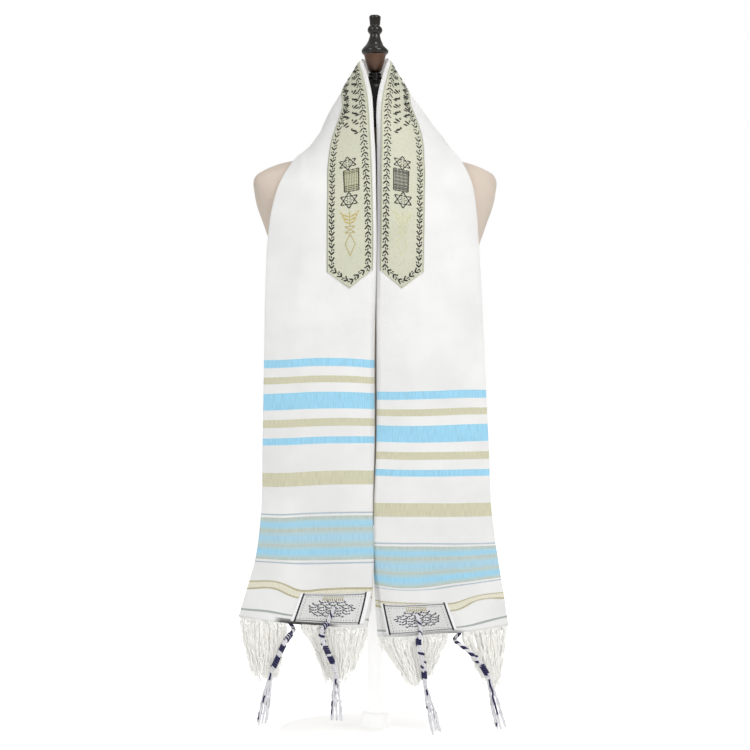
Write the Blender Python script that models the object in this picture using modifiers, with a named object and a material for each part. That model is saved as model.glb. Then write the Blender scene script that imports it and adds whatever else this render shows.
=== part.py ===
"""A striped tallit, folded lengthwise in three and worn as a stole on a limbless dress form.

Metres, +Z up, the front faces -Y. The origin is on the floor, under the middle of the stand.
"""

from collections import namedtuple
from math import cos, pi, radians, sin

import bmesh
import bpy
import numpy as np
from mathutils import Vector

# ---- driving sizes ------------------------------------------------------------------------------

WALL = 0.0011  # woven cloth, with its nap
LAYER_PITCH = 0.0024  # from the middle of one folded layer to the middle of the next
SEAM_GAP = 0.0003
HEM = 0.930  # from the middle of the nape to either hem, along the cloth
FOLD_STEPS = 2
FOLD_HALF_TURNS = (pi / 2, -pi / 2)

PANEL_COLUMNS = (0.0, 0.03, 0.135, 0.24, 0.34, 0.43, 0.60, 0.72, 0.85, 1.0)  # shares of the folded width
FREE_EDGE = 0.97  # the hidden third stops just inside the outer fold
BAND_EDGES = (0.03, 0.43)  # the neckband's two long edges, as shares of the folded width
BAND_CORNER = 0.396  # along the cloth, where the neckband starts to narrow
BAND_TIP = 0.424
BAND_WALL = 0.0010
PATCH_TOP = 0.880  # along the cloth
PATCH_EDGES = (0.03, 0.60)
REAR_PATCH_EDGES = (0.34, 0.85)
PATCH_WALL = 0.0008

FRINGE_STRIP = 0.005
FRINGE_COLUMNS = 14  # to each folded layer
LOCK_STEPS = 4
LOCK_WIDTHS = (0.72, 0.42)  # shares of its root's width, where a lock starts and at its tip
LOCK_DROP = 0.010  # how far a lock hangs straight down before it leans
LOCK_INSET = 0.2  # share of the wall left clear round a lock's root
LAYER_SPREAD = 0.006  # between the tips of two layers' locks

HEAD_SIDES = 8
STRAND_WIDTHS = (1.0, 1.1, 1.1, 0.9)  # of a strand's root, at steps down to its tip
STRAND_INSET = 0.0002
STRAND_FAN = (0.8, 0.6)  # how much less the tips spread to the front and down than sideways

FORM_SIDES = 32
NECK_BASE = 0.940
NECK_TOP = 1.0295
FORM_FOOT = 0.330
TURNED_STEPS = 18

PLATE_STEPS = 36
PLATE_RADIUS = 0.150
PLATE_HEIGHT = 0.008
SOCKET_RADIUS = 0.021
SOCKET_HEIGHT = 0.034
POLE_RADIUS = 0.0125
POLE_SIDES = 20

# ---- the folded cloth's course over the form ----------------------------------------------------
# A row for each section across the folded strip: how far along the cloth it lies from the nape,
# its point on the neck edge, in the middle and on the outer edge, and where the second fold is
# tucked, as a share of the width. The x are distances from the centre line, on either side.

Section = namedtuple(
    "Section", "along neck_x neck_y neck_z mid_x mid_y mid_z outer_x outer_y outer_z tuck"
)

LEFT_SECTIONS = [
    Section(0.000, 0.0000, 0.0205, 1.0500, 0.0000, 0.0560, 0.977, 0.0000, 0.0960, 0.905, 0.015),
    Section(0.030, 0.0215, 0.0020, 1.0500, 0.0440, 0.0470, 0.984, 0.0400, 0.0930, 0.905, 0.015),
    Section(0.070, 0.0120, -0.0270, 1.0260, 0.0700, 0.0260, 0.969, 0.0740, 0.0770, 0.904, 0.015),
    Section(0.110, 0.0042, -0.0480, 0.9900, 0.0790, 0.0020, 0.948, 0.0940, 0.0520, 0.904, 0.015),
    Section(0.150, 0.0018, -0.0640, 0.9520, 0.0775, -0.0280, 0.930, 0.1070, 0.0230, 0.9035, 0.015),
    Section(0.175, 0.0008, -0.0740, 0.9280, 0.0790, -0.0490, 0.907, 0.1160, -0.0070, 0.8990, 0.015),
    Section(0.205, 0.0000, -0.0850, 0.9000, 0.0810, -0.0690, 0.880, 0.1280, -0.0360, 0.882, 0.015),
    Section(0.250, -0.0012, -0.1010, 0.8590, 0.0820, -0.0920, 0.844, 0.1450, -0.0600, 0.849, 0.015),
    Section(0.300, -0.0012, -0.1140, 0.8110, 0.0830, -0.1105, 0.800, 0.1560, -0.0770, 0.805, 0.015),
    Section(0.350, -0.0006, -0.1230, 0.7620, 0.0830, -0.1230, 0.757, 0.1610, -0.0930, 0.757, 0.015),
    Section(0.410, 0.0008, -0.1290, 0.7020, 0.0830, -0.1310, 0.698, 0.1630, -0.1070, 0.698, 0.015),
    Section(0.510, 0.0010, -0.1300, 0.6020, 0.0835, -0.1350, 0.599, 0.1645, -0.1150, 0.600, 0.015),
    Section(0.660, 0.0012, -0.1290, 0.4520, 0.0845, -0.1340, 0.449, 0.1670, -0.1180, 0.451, 0.015),
    Section(0.760, 0.0036, -0.1280, 0.3520, 0.0860, -0.1330, 0.349, 0.1690, -0.1190, 0.354, 0.015),
    Section(0.840, 0.0024, -0.1270, 0.2720, 0.0895, -0.1330, 0.270, 0.1790, -0.1210, 0.277, 0.010),
    Section(0.890, 0.0060, -0.1265, 0.2190, 0.0980, -0.1330, 0.222, 0.1920, -0.1230, 0.232, 0.000),
    Section(0.930, 0.0125, -0.1260, 0.1790, 0.1050, -0.1330, 0.184, 0.2030, -0.1250, 0.195, 0.000),
]

RIGHT_SECTIONS = LEFT_SECTIONS[:1] + [
    Section(0.030, 0.0215, 0.0020, 1.0510, 0.0430, 0.0470, 0.983, 0.0400, 0.0930, 0.905, 0.015),
    Section(0.070, 0.0120, -0.0270, 1.0260, 0.0715, 0.0260, 0.970, 0.0760, 0.0770, 0.904, 0.015),
    Section(0.110, 0.0036, -0.0480, 0.9900, 0.0850, 0.0020, 0.951, 0.1000, 0.0520, 0.9040, 0.015),
    Section(0.150, 0.0014, -0.0640, 0.9520, 0.0860, -0.0280, 0.934, 0.1180, 0.0230, 0.9030, 0.015),
    Section(0.175, 0.0022, -0.0740, 0.9280, 0.0860, -0.0490, 0.910, 0.1270, -0.0070, 0.8980, 0.015),
    Section(0.205, 0.0036, -0.0850, 0.9000, 0.0850, -0.0690, 0.881, 0.1350, -0.0360, 0.881, 0.015),
    Section(0.250, 0.0044, -0.1010, 0.8590, 0.0850, -0.0920, 0.844, 0.1470, -0.0600, 0.849, 0.015),
    Section(0.300, 0.0042, -0.1140, 0.8110, 0.0845, -0.1105, 0.800, 0.1525, -0.0770, 0.805, 0.015),
    Section(0.350, 0.0036, -0.1230, 0.7620, 0.0835, -0.1230, 0.757, 0.1550, -0.0930, 0.757, 0.015),
    Section(0.410, 0.0020, -0.1290, 0.7020, 0.0825, -0.1310, 0.698, 0.1580, -0.1070, 0.698, 0.015),
    Section(0.510, 0.0018, -0.1300, 0.6020, 0.0840, -0.1350, 0.599, 0.1620, -0.1150, 0.600, 0.015),
    Section(0.660, 0.0016, -0.1290, 0.4520, 0.0865, -0.1340, 0.449, 0.1690, -0.1180, 0.451, 0.015),
    Section(0.760, -0.0008, -0.1280, 0.3520, 0.0885, -0.1330, 0.349, 0.1735, -0.1190, 0.352, 0.015),
    Section(0.840, 0.0012, -0.1270, 0.2700, 0.0945, -0.1330, 0.265, 0.1850, -0.1210, 0.270, -0.010),
    Section(0.890, 0.0085, -0.1265, 0.2090, 0.1010, -0.1330, 0.210, 0.1930, -0.1230, 0.222, -0.035),
    Section(0.930, 0.0150, -0.1260, 0.1650, 0.1060, -0.1330, 0.171, 0.1990, -0.1250, 0.181, -0.055),
]

# Soft waves that open towards the hems: where they start along the cloth, how deep they get at the
# hem, and how many fit across the folded width.
WAVE_START = 0.62
WAVE_DEPTH = {"left": 0.0050, "right": 0.0060}
WAVES_ACROSS = {"left": 1.6, "right": 1.8}

# ---- the dress form -----------------------------------------------------------------------------
# A row for each level: its height, half its width, and how far it reaches forward and back.

Level = namedtuple("Level", "height half_width front back roundness")

FORM_LEVELS = [
    Level(0.330, 0.148, 0.094, 0.104, 2.3),
    Level(0.350, 0.153, 0.098, 0.110, 2.3),
    Level(0.400, 0.156, 0.100, 0.115, 2.3),
    Level(0.460, 0.143, 0.092, 0.104, 2.3),
    Level(0.535, 0.126, 0.084, 0.086, 2.3),
    Level(0.620, 0.137, 0.096, 0.093, 2.3),
    Level(0.700, 0.151, 0.113, 0.108, 2.3),
    Level(0.745, 0.158, 0.113, 0.116, 2.3),
    Level(0.785, 0.1710, 0.105, 0.120, 2.3),
    Level(0.820, 0.1835, 0.094, 0.118, 2.3),
    Level(0.843, 0.1880, 0.079, 0.113, 2.3),
    Level(0.858, 0.1895, 0.061, 0.109, 2.3),
    Level(0.869, 0.1850, 0.050, 0.104, 2.3),
    Level(0.877, 0.1735, 0.043, 0.099, 2.2),
    Level(0.8846, 0.1560, 0.039, 0.093, 2.1),
    Level(0.8900, 0.1370, 0.038, 0.087, 2.0),
    Level(0.897, 0.0960, 0.038, 0.079, 2.0),
    Level(0.909, 0.0680, 0.041, 0.066, 2.0),
    Level(0.922, 0.0560, 0.042, 0.056, 2.0),
    Level(NECK_BASE - SEAM_GAP, 0.0480, 0.043, 0.048, 2.0),
]

# Turned profiles, as (radius, height), from the top down the outer side.
NECK_PROFILE = [
    (0.0, NECK_TOP),
    (0.0085, NECK_TOP),
    (0.0105, 1.0270),
    (0.0090, 1.0245),
    (0.0125, 1.0210),
    (0.0115, 1.0180),
    (0.0160, 1.0140),
    (0.0235, 1.0080),
    (0.0285, 0.9980),
    (0.0335, 0.9850),
    (0.0385, 0.9700),
    (0.0430, 0.9550),
    (0.0465, NECK_BASE),
    (0.0, NECK_BASE),
]

FINIAL_FOOT = NECK_TOP + SEAM_GAP
FINIAL_PROFILE = [
    (0.0, 1.1200),
    (0.0062, 1.1196),
    (0.0088, 1.1180),
    (0.0092, 1.1155),
    (0.0086, 1.1110),
    (0.0080, 1.1045),
    (0.0078, 1.1030),
    (0.0102, 1.1010),
    (0.0117, 1.0975),
    (0.0115, 1.0940),
    (0.0096, 1.0910),
    (0.0077, 1.0892),
    (0.0086, 1.0850),
    (0.0108, 1.0785),
    (0.0140, 1.0730),
    (0.0180, 1.0688),
    (0.0208, 1.0652),
    (0.0212, 1.0622),
    (0.0198, 1.0592),
    (0.0170, 1.0570),
    (0.0164, 1.0540),
    (0.0146, 1.0470),
    (0.0122, 1.0400),
    (0.0098, FINIAL_FOOT),
    (0.0, FINIAL_FOOT),
]

PLATE_PROFILE = [
    (0.0, SOCKET_HEIGHT),
    (SOCKET_RADIUS - 0.003, SOCKET_HEIGHT),
    (SOCKET_RADIUS, SOCKET_HEIGHT - 0.003),
    (SOCKET_RADIUS, PLATE_HEIGHT + 0.006),
    (SOCKET_RADIUS + 0.006, PLATE_HEIGHT),
    (PLATE_RADIUS - 0.003, PLATE_HEIGHT),
    (PLATE_RADIUS, PLATE_HEIGHT - 0.003),
    (PLATE_RADIUS, 0.0),
    (0.0, 0.0),
]

# ---- fringes and knotted corner cords -----------------------------------------------------------
# Where the locks gather: root_x to tip_x and the tip's height, on each side, as distances from the
# centre line. Locks are left out where a corner cord comes through.

Gather = namedtuple("Gather", "root_x tip_x tip_height")

GATHERS = {
    "left": [
        Gather(0.010, 0.032, 0.122),
        Gather(0.045, 0.050, 0.106),
        Gather(0.112, 0.073, 0.104),
        Gather(0.118, 0.138, 0.116),
        Gather(0.150, 0.148, 0.104),
        Gather(0.204, 0.168, 0.107),
    ],
    "right": [
        Gather(0.006, 0.052, 0.100),
        Gather(0.045, 0.061, 0.101),
        Gather(0.112, 0.080, 0.114),
        Gather(0.118, 0.150, 0.118),
        Gather(0.160, 0.176, 0.100),
        Gather(0.200, 0.193, 0.097),
    ],
}
CORD_GAPS = {"left": (0.108, 0.134), "right": (0.106, 0.134)}

# A row for each corner cord: its side, its hole's place across the folded width (past the middle on
# the hidden corners), its slack over the patch, the points of its knotted part after the hem, and
# where its loose strands end, in x, y and z.

CornerCord = namedtuple("CornerCord", "name side hole_share ease route strands_end")

CORNER_CORDS = [
    CornerCord(
        "cord_left_inner",
        "left",
        0.325,
        0.0014,
        [(-0.0785, -0.1475, 0.180), (-0.0785, -0.1490, 0.166), (-0.0705, -0.1500, 0.146),
         (-0.0630, -0.1500, 0.130), (-0.0585, -0.1500, 0.115)],
        (-0.0570, -0.1490, 0.045),
    ),
    CornerCord(
        "cord_left_outer",
        "left",
        0.62,
        0.0008,
        [(-0.1225, -0.1180, 0.1765), (-0.1245, -0.1340, 0.173), (-0.1340, -0.1500, 0.160),
         (-0.1445, -0.1520, 0.137), (-0.1550, -0.1520, 0.115)],
        (-0.1650, -0.1500, 0.038),
    ),
    CornerCord(
        "cord_right_inner",
        "right",
        0.325,
        0.0007,
        [(0.0645, -0.1480, 0.162), (0.0690, -0.1500, 0.143), (0.0725, -0.1510, 0.124),
         (0.0735, -0.1510, 0.108), (0.0750, -0.1510, 0.095)],
        (0.0920, -0.1500, 0.024),
    ),
    CornerCord(
        "cord_right_outer",
        "right",
        0.62,
        0.0013,
        [(0.1195, -0.1180, 0.1600), (0.1240, -0.1340, 0.157), (0.1400, -0.1500, 0.146),
         (0.1560, -0.1520, 0.130), (0.1680, -0.1520, 0.111)],
        (0.1860, -0.1500, 0.032),
    ),
]
CORD_RADII = (0.0018, 0.0024, 0.0030, 0.0046, 0.0036, 0.0044, 0.0036, 0.0046, 0.0034)
STRAND_REACH = 0.0085  # how far the loose strands spread from their middle
HOLE_ALONG = 0.905  # the corner holes, along the cloth

# ---- materials ----------------------------------------------------------------------------------


def finish(name, colour, roughness, metallic=0.0):
    material = bpy.data.materials.new(name)
    material.use_nodes = True
    shader = material.node_tree.nodes["Principled BSDF"]
    shader.inputs["Base Color"].default_value = (*colour, 1.0)
    shader.inputs["Roughness"].default_value = roughness
    shader.inputs["Metallic"].default_value = metallic
    material.diffuse_color = (*colour, 1.0)
    return material


# ---- mesh helpers -------------------------------------------------------------------------------


def clear_scene():
    for thing in list(bpy.data.objects):
        bpy.data.objects.remove(thing)


def put(name, mesh, material, collection):
    mesh.materials.append(material)
    mesh.shade_smooth()
    mesh.set_sharp_from_angle(angle=radians(40))
    thing = bpy.data.objects.new(name, mesh)
    collection.objects.link(thing)
    return thing


def sheet(name, points, thickness, material, collection):
    """An open grid through an array of points, rows by columns, given its thickness."""
    rows, columns = points.shape[:2]
    made = bmesh.new()
    bmesh.ops.create_grid(made, x_segments=columns - 1, y_segments=rows - 1, size=1.0)
    order = sorted(made.verts, key=lambda vert: (round(vert.co.y, 6), round(vert.co.x, 6)))
    for vert, point in zip(order, points.reshape(-1, 3), strict=True):
        vert.co = point
    mesh = bpy.data.meshes.new(name)
    made.to_mesh(mesh)
    made.free()
    thing = put(name, mesh, material, collection)
    wall = thing.modifiers.new("wall", "SOLIDIFY")
    wall.thickness = thickness
    wall.offset = 0.0
    return thing


def loft(rings):
    """A closed bmesh through rings of equal counts, with both ends capped."""
    made = bmesh.new()
    loops = [[made.verts.new(point) for point in ring] for ring in rings]
    count = len(loops[0])
    for lower, upper in zip(loops, loops[1:]):
        for i in range(count):
            j = (i + 1) % count
            made.faces.new((lower[i], lower[j], upper[j], upper[i]))
    caps = [made.faces.new(loops[0]), made.faces.new(loops[-1])]
    bmesh.ops.recalc_face_normals(made, faces=made.faces)
    return made, loops, caps


def grow(made, face, centres, scales):
    """Draws a strand out of a face, through centres, with its width scaled at each."""
    start = face.calc_center_median()
    shape = [vert.co - start for vert in face.verts]
    for centre, scale in zip(centres, scales, strict=True):
        face = bmesh.ops.extrude_discrete_faces(made, faces=[face])["faces"][0]
        for vert, offset in zip(face.verts, shape, strict=True):
            vert.co = Vector(centre) + offset * scale


def turned(name, profile, material, collection, steps=TURNED_STEPS):
    mesh = bpy.data.meshes.new(name)
    edges = [(i, i + 1) for i in range(len(profile) - 1)]
    mesh.from_pydata([(radius, 0.0, height) for radius, height in profile], edges, [])
    thing = put(name, mesh, material, collection)
    screw = thing.modifiers.new("turn", "SCREW")
    screw.steps = screw.render_steps = steps
    screw.use_merge_vertices = True
    screw.merge_threshold = 0.00001
    screw.use_smooth_shade = True
    return thing


# ---- the cloth's surface ------------------------------------------------------------------------


def all_sections():
    """Both sides as one run of rows, from the left hem over the nape to the right hem."""
    left = [[-row.along] + signed(row, -1) for row in reversed(LEFT_SECTIONS)]
    right = [[row.along] + signed(row, 1) for row in RIGHT_SECTIONS[1:]]
    return np.array(left + right)


def signed(row, side):
    return [
        side * row.neck_x, row.neck_y, row.neck_z,
        side * row.mid_x, row.mid_y, row.mid_z,
        side * row.outer_x, row.outer_y, row.outer_z,
        row.tuck,
    ]


SECTIONS = all_sections()


def section_at(along):
    """The row of section values at each place along the cloth, by a smooth curve through the rows."""
    knots, values = SECTIONS[:, 0], SECTIONS[:, 1:]
    slopes = np.gradient(values, knots, axis=0)
    along = np.clip(along, knots[0] - 0.02, knots[-1] + 0.02)
    i = np.clip(np.searchsorted(knots, along) - 1, 0, len(knots) - 2)
    span = (knots[i + 1] - knots[i])[..., None]
    t = ((along - knots[i])[..., None]) / span
    return (
        (2 * t**3 - 3 * t**2 + 1) * values[i]
        + (t**3 - 2 * t**2 + t) * span * slopes[i]
        + (3 * t**2 - 2 * t**3) * values[i + 1]
        + (t**3 - t**2) * span * slopes[i + 1]
    )


def middle_surface(along, share):
    """The middle layer's points: a smooth curve across through the neck edge, middle and outer edge."""
    along, share = np.broadcast_arrays(along, share)
    row = section_at(along)
    u = share[..., None]
    points = (
        (2 * u - 1) * (u - 1) * row[..., 0:3]
        + 4 * u * (1 - u) * row[..., 3:6]
        + u * (2 * u - 1) * row[..., 6:9]
    )
    for side, chosen in (("left", along < 0), ("right", along >= 0)):
        opening = np.clip((np.abs(along) - WAVE_START) / (HEM - WAVE_START), 0, 1.1) ** 2
        wave = WAVE_DEPTH[side] * opening * np.sin(2 * pi * WAVES_ACROSS[side] * share)
        points[..., 1] -= np.where(chosen, wave, 0.0)
    return points


def on_cloth(along, share, height):
    """Points that stand a height off the middle layer, outwards from the form."""
    step = 1e-4
    points = middle_surface(along, share)
    down = middle_surface(along + step, share) - middle_surface(along - step, share)
    across = middle_surface(along, share + step) - middle_surface(along, share - step)
    outwards = np.cross(down, across)
    outwards /= np.linalg.norm(outwards, axis=-1, keepdims=True)
    return points + outwards * np.asarray(height)[..., None]


def folded_across(along, columns):
    """One section through the three layers: shares of the width, and heights off the middle layer."""
    tuck = float(section_at(np.array([along]))[0, 9])
    width = np.linalg.norm(middle_surface(along, 1.0) - middle_surface(along, 0.0))
    columns = np.asarray(columns)
    bend = LAYER_PITCH / 2
    turns = np.linspace(*FOLD_HALF_TURNS, FOLD_STEPS + 2)[1:-1]
    tucked = tuck + columns[::-1] * (1 - tuck)
    hidden = tuck + columns * (FREE_EDGE - tuck)
    shares = [columns, 1 + bend * np.cos(turns) / width, tucked, tuck - bend * np.cos(turns) / width, hidden]
    heights = [
        np.full(len(columns), LAYER_PITCH),
        bend + bend * np.sin(turns),
        np.zeros(len(columns)),
        -bend + bend * np.sin(turns),
        np.full(len(columns), -LAYER_PITCH),
    ]
    return np.concatenate(shares), np.concatenate(heights)


def rows_along():
    """Places of the sections along one half: close together round the neck and near the hem."""
    return np.concatenate([
        np.linspace(0.0, 0.12, 8)[:-1],
        np.linspace(0.12, 0.24, 6)[:-1],
        np.linspace(0.24, BAND_CORNER, 5)[:-1],
        np.linspace(BAND_CORNER, 0.76, 6)[:-1],
        np.linspace(0.76, PATCH_TOP, 5)[:-1],
        [PATCH_TOP, (PATCH_TOP + HEM) / 2, HEM - 0.0015, HEM],
    ])


def strip_between(places, columns):
    rows = []
    for along in places:
        shares, heights = folded_across(along, columns)
        rows.append(on_cloth(np.full(len(shares), along), shares, heights))
    return np.array(rows)


# ---- the pieces ---------------------------------------------------------------------------------


def make_cloth(collection):
    half = rows_along()
    places = np.concatenate([-half[:0:-1], half])
    material = finish("woven_wool_white", (0.86, 0.85, 0.83), 0.85)
    sheet("shawl_cloth", strip_between(places, PANEL_COLUMNS), WALL, material, collection)


def make_neckband(collection):
    """The neckband lies on the front layer, along the neck edge, with a point at each end."""
    columns = np.array([share for share in PANEL_COLUMNS if BAND_EDGES[0] <= share <= BAND_EDGES[1]])
    half = rows_along()
    half = half[half <= BAND_CORNER]
    places = np.concatenate([-half[:0:-1], half])
    along = np.repeat(places[:, None], len(columns), axis=1)
    middle = (BAND_EDGES[0] + BAND_EDGES[1]) / 2
    point = 1 - np.abs(columns - middle) / (BAND_EDGES[1] - middle)
    tip = BAND_CORNER + (BAND_TIP - BAND_CORNER) * np.maximum(point, 0.02)
    along = np.vstack([-tip, along, tip])
    height = LAYER_PITCH + WALL / 2 + 1.5 * SEAM_GAP + BAND_WALL / 2
    points = on_cloth(along, np.broadcast_to(columns, along.shape), np.full(along.shape, height))
    sheet("neckband", points, BAND_WALL, finish("brocade_cream", (0.76, 0.75, 0.62), 0.6), collection)


def make_patches(collection):
    """A square of jacquard at each corner: two on the front layer, two behind the hidden one."""
    material = finish("jacquard_grey", (0.62, 0.62, 0.63), 0.7)
    lift = LAYER_PITCH + WALL / 2 + SEAM_GAP + PATCH_WALL / 2
    for side, sign in (("left", -1), ("right", 1)):
        for face, edges, height in (("front", PATCH_EDGES, lift), ("rear", REAR_PATCH_EDGES, -lift)):
            places = np.sort(sign * np.array([PATCH_TOP, (PATCH_TOP + HEM) / 2, HEM - 0.0015]))
            columns = np.array([share for share in PANEL_COLUMNS if edges[0] <= share <= edges[1]])
            if face == "rear":
                tuck = section_at(places)[:, 9][:, None]
                shares = tuck + columns * (FREE_EDGE - tuck)
            else:
                shares = np.broadcast_to(columns, (3, len(columns)))
            along = np.repeat(places[:, None], len(columns), axis=1)
            points = on_cloth(along, shares, np.full(along.shape, height))
            sheet(f"corner_patch_{side}_{face}", points, PATCH_WALL, material, collection)


def fringe_bar(side, sign):
    """A narrow strip under a hem, as rings of four corners, with the outward direction of each."""
    columns = np.linspace(0.0, 1.0, FRINGE_COLUMNS + 1)
    shares, heights = folded_across(sign * HEM, columns)
    near = sign * (HEM + SEAM_GAP)
    far = sign * (HEM + SEAM_GAP + FRINGE_STRIP)
    rings = []
    upper, lower = (
        on_cloth(np.full(len(shares), place), shares, heights) for place in (near, far)
    )
    run = np.gradient(upper, axis=0)
    drop = lower - upper
    out = np.cross(run, drop)
    out *= WALL / 2 / np.linalg.norm(out, axis=1, keepdims=True)
    for top, bottom, normal in zip(upper, lower, out, strict=True):
        rings.append([top + normal, top - normal, bottom - normal, bottom + normal])
    return rings, lower


def make_fringe(side, sign, collection):
    """The knotted fringe of one hem: a bar that follows the three layers, with locks drawn from it."""
    rings, lower = fringe_bar(side, sign)
    made, loops, _ = loft(rings)
    made.faces.ensure_lookup_table()
    gathers = GATHERS[side]
    roots = [gather.root_x for gather in gathers]
    per_layer = FRINGE_COLUMNS + 1 + FOLD_STEPS
    tip_back = (-LAYER_SPREAD, 0.0, LAYER_SPREAD)
    chosen = []
    for i in range(len(loops) - 1):
        layer, column = divmod(i, per_layer)
        if column >= FRINGE_COLUMNS:
            continue
        centre = (lower[i] + lower[i + 1]) / 2
        if CORD_GAPS[side][0] < abs(centre[0]) < CORD_GAPS[side][1]:
            continue
        corners = {loops[i][2], loops[i][3], loops[i + 1][2], loops[i + 1][3]}
        face = next(f for f in loops[i][2].link_faces if set(f.verts) == corners)
        chosen.append((face, layer, centre))
    for face, layer, centre in chosen:
        bmesh.ops.inset_individual(made, faces=[face], thickness=WALL * LOCK_INSET)
        tip_x = np.interp(abs(centre[0]), roots, [gather.tip_x for gather in gathers])
        tip_z = np.interp(abs(centre[0]), roots, [gather.tip_height for gather in gathers])
        tip = np.array([sign * tip_x, centre[1] + tip_back[layer], tip_z])
        drop_first = centre + np.array([0.0, 0.0, -LOCK_DROP])
        shares = np.linspace(0.0, 1.0, LOCK_STEPS)
        centres = [drop_first + (tip - drop_first) * share for share in shares]
        grow(made, face, centres, np.linspace(*LOCK_WIDTHS, LOCK_STEPS))
    mesh = bpy.data.meshes.new(f"fringe_{side}")
    made.to_mesh(mesh)
    made.free()
    put(f"fringe_{side}", mesh, finish(f"fringe_yarn_{side}", (0.84, 0.83, 0.79), 0.9), collection)


def smooth_route(points, count):
    """Points spaced evenly by share along a smooth curve through the given ones."""
    points = np.array(points, float)
    knots = np.concatenate([[0], np.cumsum(np.linalg.norm(np.diff(points, axis=0), axis=1))])
    slopes = np.gradient(points, knots, axis=0)
    places = np.linspace(0, knots[-1], count)
    i = np.clip(np.searchsorted(knots, places) - 1, 0, len(knots) - 2)
    span = (knots[i + 1] - knots[i])[:, None]
    t = (places - knots[i])[:, None] / span
    return (
        (2 * t**3 - 3 * t**2 + 1) * points[i]
        + (t**3 - 2 * t**2 + t) * span * slopes[i]
        + (3 * t**2 - 2 * t**3) * points[i + 1]
        + (t**3 - t**2) * span * slopes[i + 1]
    )


def make_corner_cord(cord, collection):
    """A knotted head from the corner hole down, and eight loose strands drawn from its end."""
    sign = -1 if cord.side == "left" else 1
    front = cord.hole_share < 0.5
    lift = LAYER_PITCH + WALL / 2 + PATCH_WALL + 2 * SEAM_GAP + CORD_RADII[1] + cord.ease
    lift = lift if front else -lift
    places = [HOLE_ALONG, HEM - 0.004]
    on_patch = [on_cloth(np.array(sign * place), np.array(cord.hole_share), lift) for place in places]
    rings_wanted = 2 * len(CORD_RADII) - 1
    course = smooth_route(on_patch + [np.array(point) for point in cord.route], rings_wanted)
    radii = np.interp(np.arange(rings_wanted) / 2, np.arange(len(CORD_RADII)), CORD_RADII)
    rings = []
    for centre, radius, run in zip(course, radii, np.gradient(course, axis=0), strict=True):
        run = Vector(run).normalized()
        side = run.cross(Vector((0.0, 1.0, 0.0))).normalized()
        fore = side.cross(run)
        turns = [2 * pi * i / HEAD_SIDES for i in range(HEAD_SIDES)]
        rings.append([Vector(centre) + (side * cos(a) + fore * sin(a)) * radius for a in turns])
    made, loops, caps = loft(rings)
    wedges = bmesh.ops.poke(made, faces=[caps[1]])["faces"]
    bmesh.ops.inset_individual(made, faces=wedges, thickness=STRAND_INSET)
    end = Vector(course[-1])
    middle = Vector(cord.strands_end)
    for face in wedges:
        away = face.calc_center_median() - end
        away = away.normalized() * STRAND_REACH
        tip = middle + Vector((away.x, away.y * STRAND_FAN[0], away.z * STRAND_FAN[1]))
        root = face.calc_center_median()
        steps = np.linspace(0.0, 1.0, len(STRAND_WIDTHS) + 1)[1:]
        grow(made, face, [root.lerp(tip, step) for step in steps], STRAND_WIDTHS)
    mesh = bpy.data.meshes.new(cord.name)
    made.to_mesh(mesh)
    made.free()
    put(cord.name, mesh, finish(f"{cord.name}_yarn", (0.80, 0.80, 0.84), 0.8), collection)


def form_ring(level):
    """One level of the dress form, a rounded oval that reaches further back than forward."""
    points = []
    for i in range(FORM_SIDES):
        a = 2 * pi * i / FORM_SIDES
        power = 2 / level.roundness
        x = abs(cos(a)) ** power * (1 if cos(a) >= 0 else -1)
        y = abs(sin(a)) ** power * (1 if sin(a) >= 0 else -1)
        points.append((x * level.half_width, y * (level.back if y > 0 else level.front), level.height))
    return points


def make_form(collection):
    made, _, _ = loft([form_ring(level) for level in FORM_LEVELS])
    mesh = bpy.data.meshes.new("form_body")
    made.to_mesh(mesh)
    made.free()
    put("form_body", mesh, finish("form_jersey", (0.60, 0.52, 0.43), 0.85), collection)
    turned("form_neck", NECK_PROFILE, finish("neck_black", (0.012, 0.011, 0.012), 0.35), collection)
    turned("finial", FINIAL_PROFILE, finish("finial_wood", (0.05, 0.022, 0.015), 0.3), collection)


def make_stand(collection):
    steel = finish("stand_white", (0.80, 0.80, 0.80), 0.4)
    turned("stand_plate", PLATE_PROFILE, steel, collection, PLATE_STEPS)
    foot, top = SOCKET_HEIGHT + SEAM_GAP, FORM_FOOT - SEAM_GAP
    bpy.ops.mesh.primitive_cylinder_add(
        vertices=POLE_SIDES, radius=POLE_RADIUS, depth=top - foot, location=(0, 0, (top + foot) / 2)
    )
    pole = bpy.context.object
    pole.name = pole.data.name = "stand_pole"
    pole.data.materials.append(steel)
    pole.data.shade_smooth()
    pole.data.set_sharp_from_angle(angle=radians(40))
    for home in list(pole.users_collection):
        home.objects.unlink(pole)
    collection.objects.link(pole)


def main():
    clear_scene()
    collection = bpy.data.collections.new("tallit_on_dress_form")
    bpy.context.scene.collection.children.link(collection)
    make_cloth(collection)
    make_neckband(collection)
    make_patches(collection)
    make_fringe("left", -1, collection)
    make_fringe("right", 1, collection)
    for cord in CORNER_CORDS:
        make_corner_cord(cord, collection)
    make_form(collection)
    make_stand(collection)


main()
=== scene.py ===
"""A striped tallit, folded lengthwise in three and worn as a stole on a limbless dress form.

Metres, +Z up, the front faces -Y. The origin is on the floor, under the middle of the stand.
"""

from collections import namedtuple
from math import cos, pi, radians, sin, tau

import bmesh
import bpy
import numpy as np
from mathutils import Matrix, Vector


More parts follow.
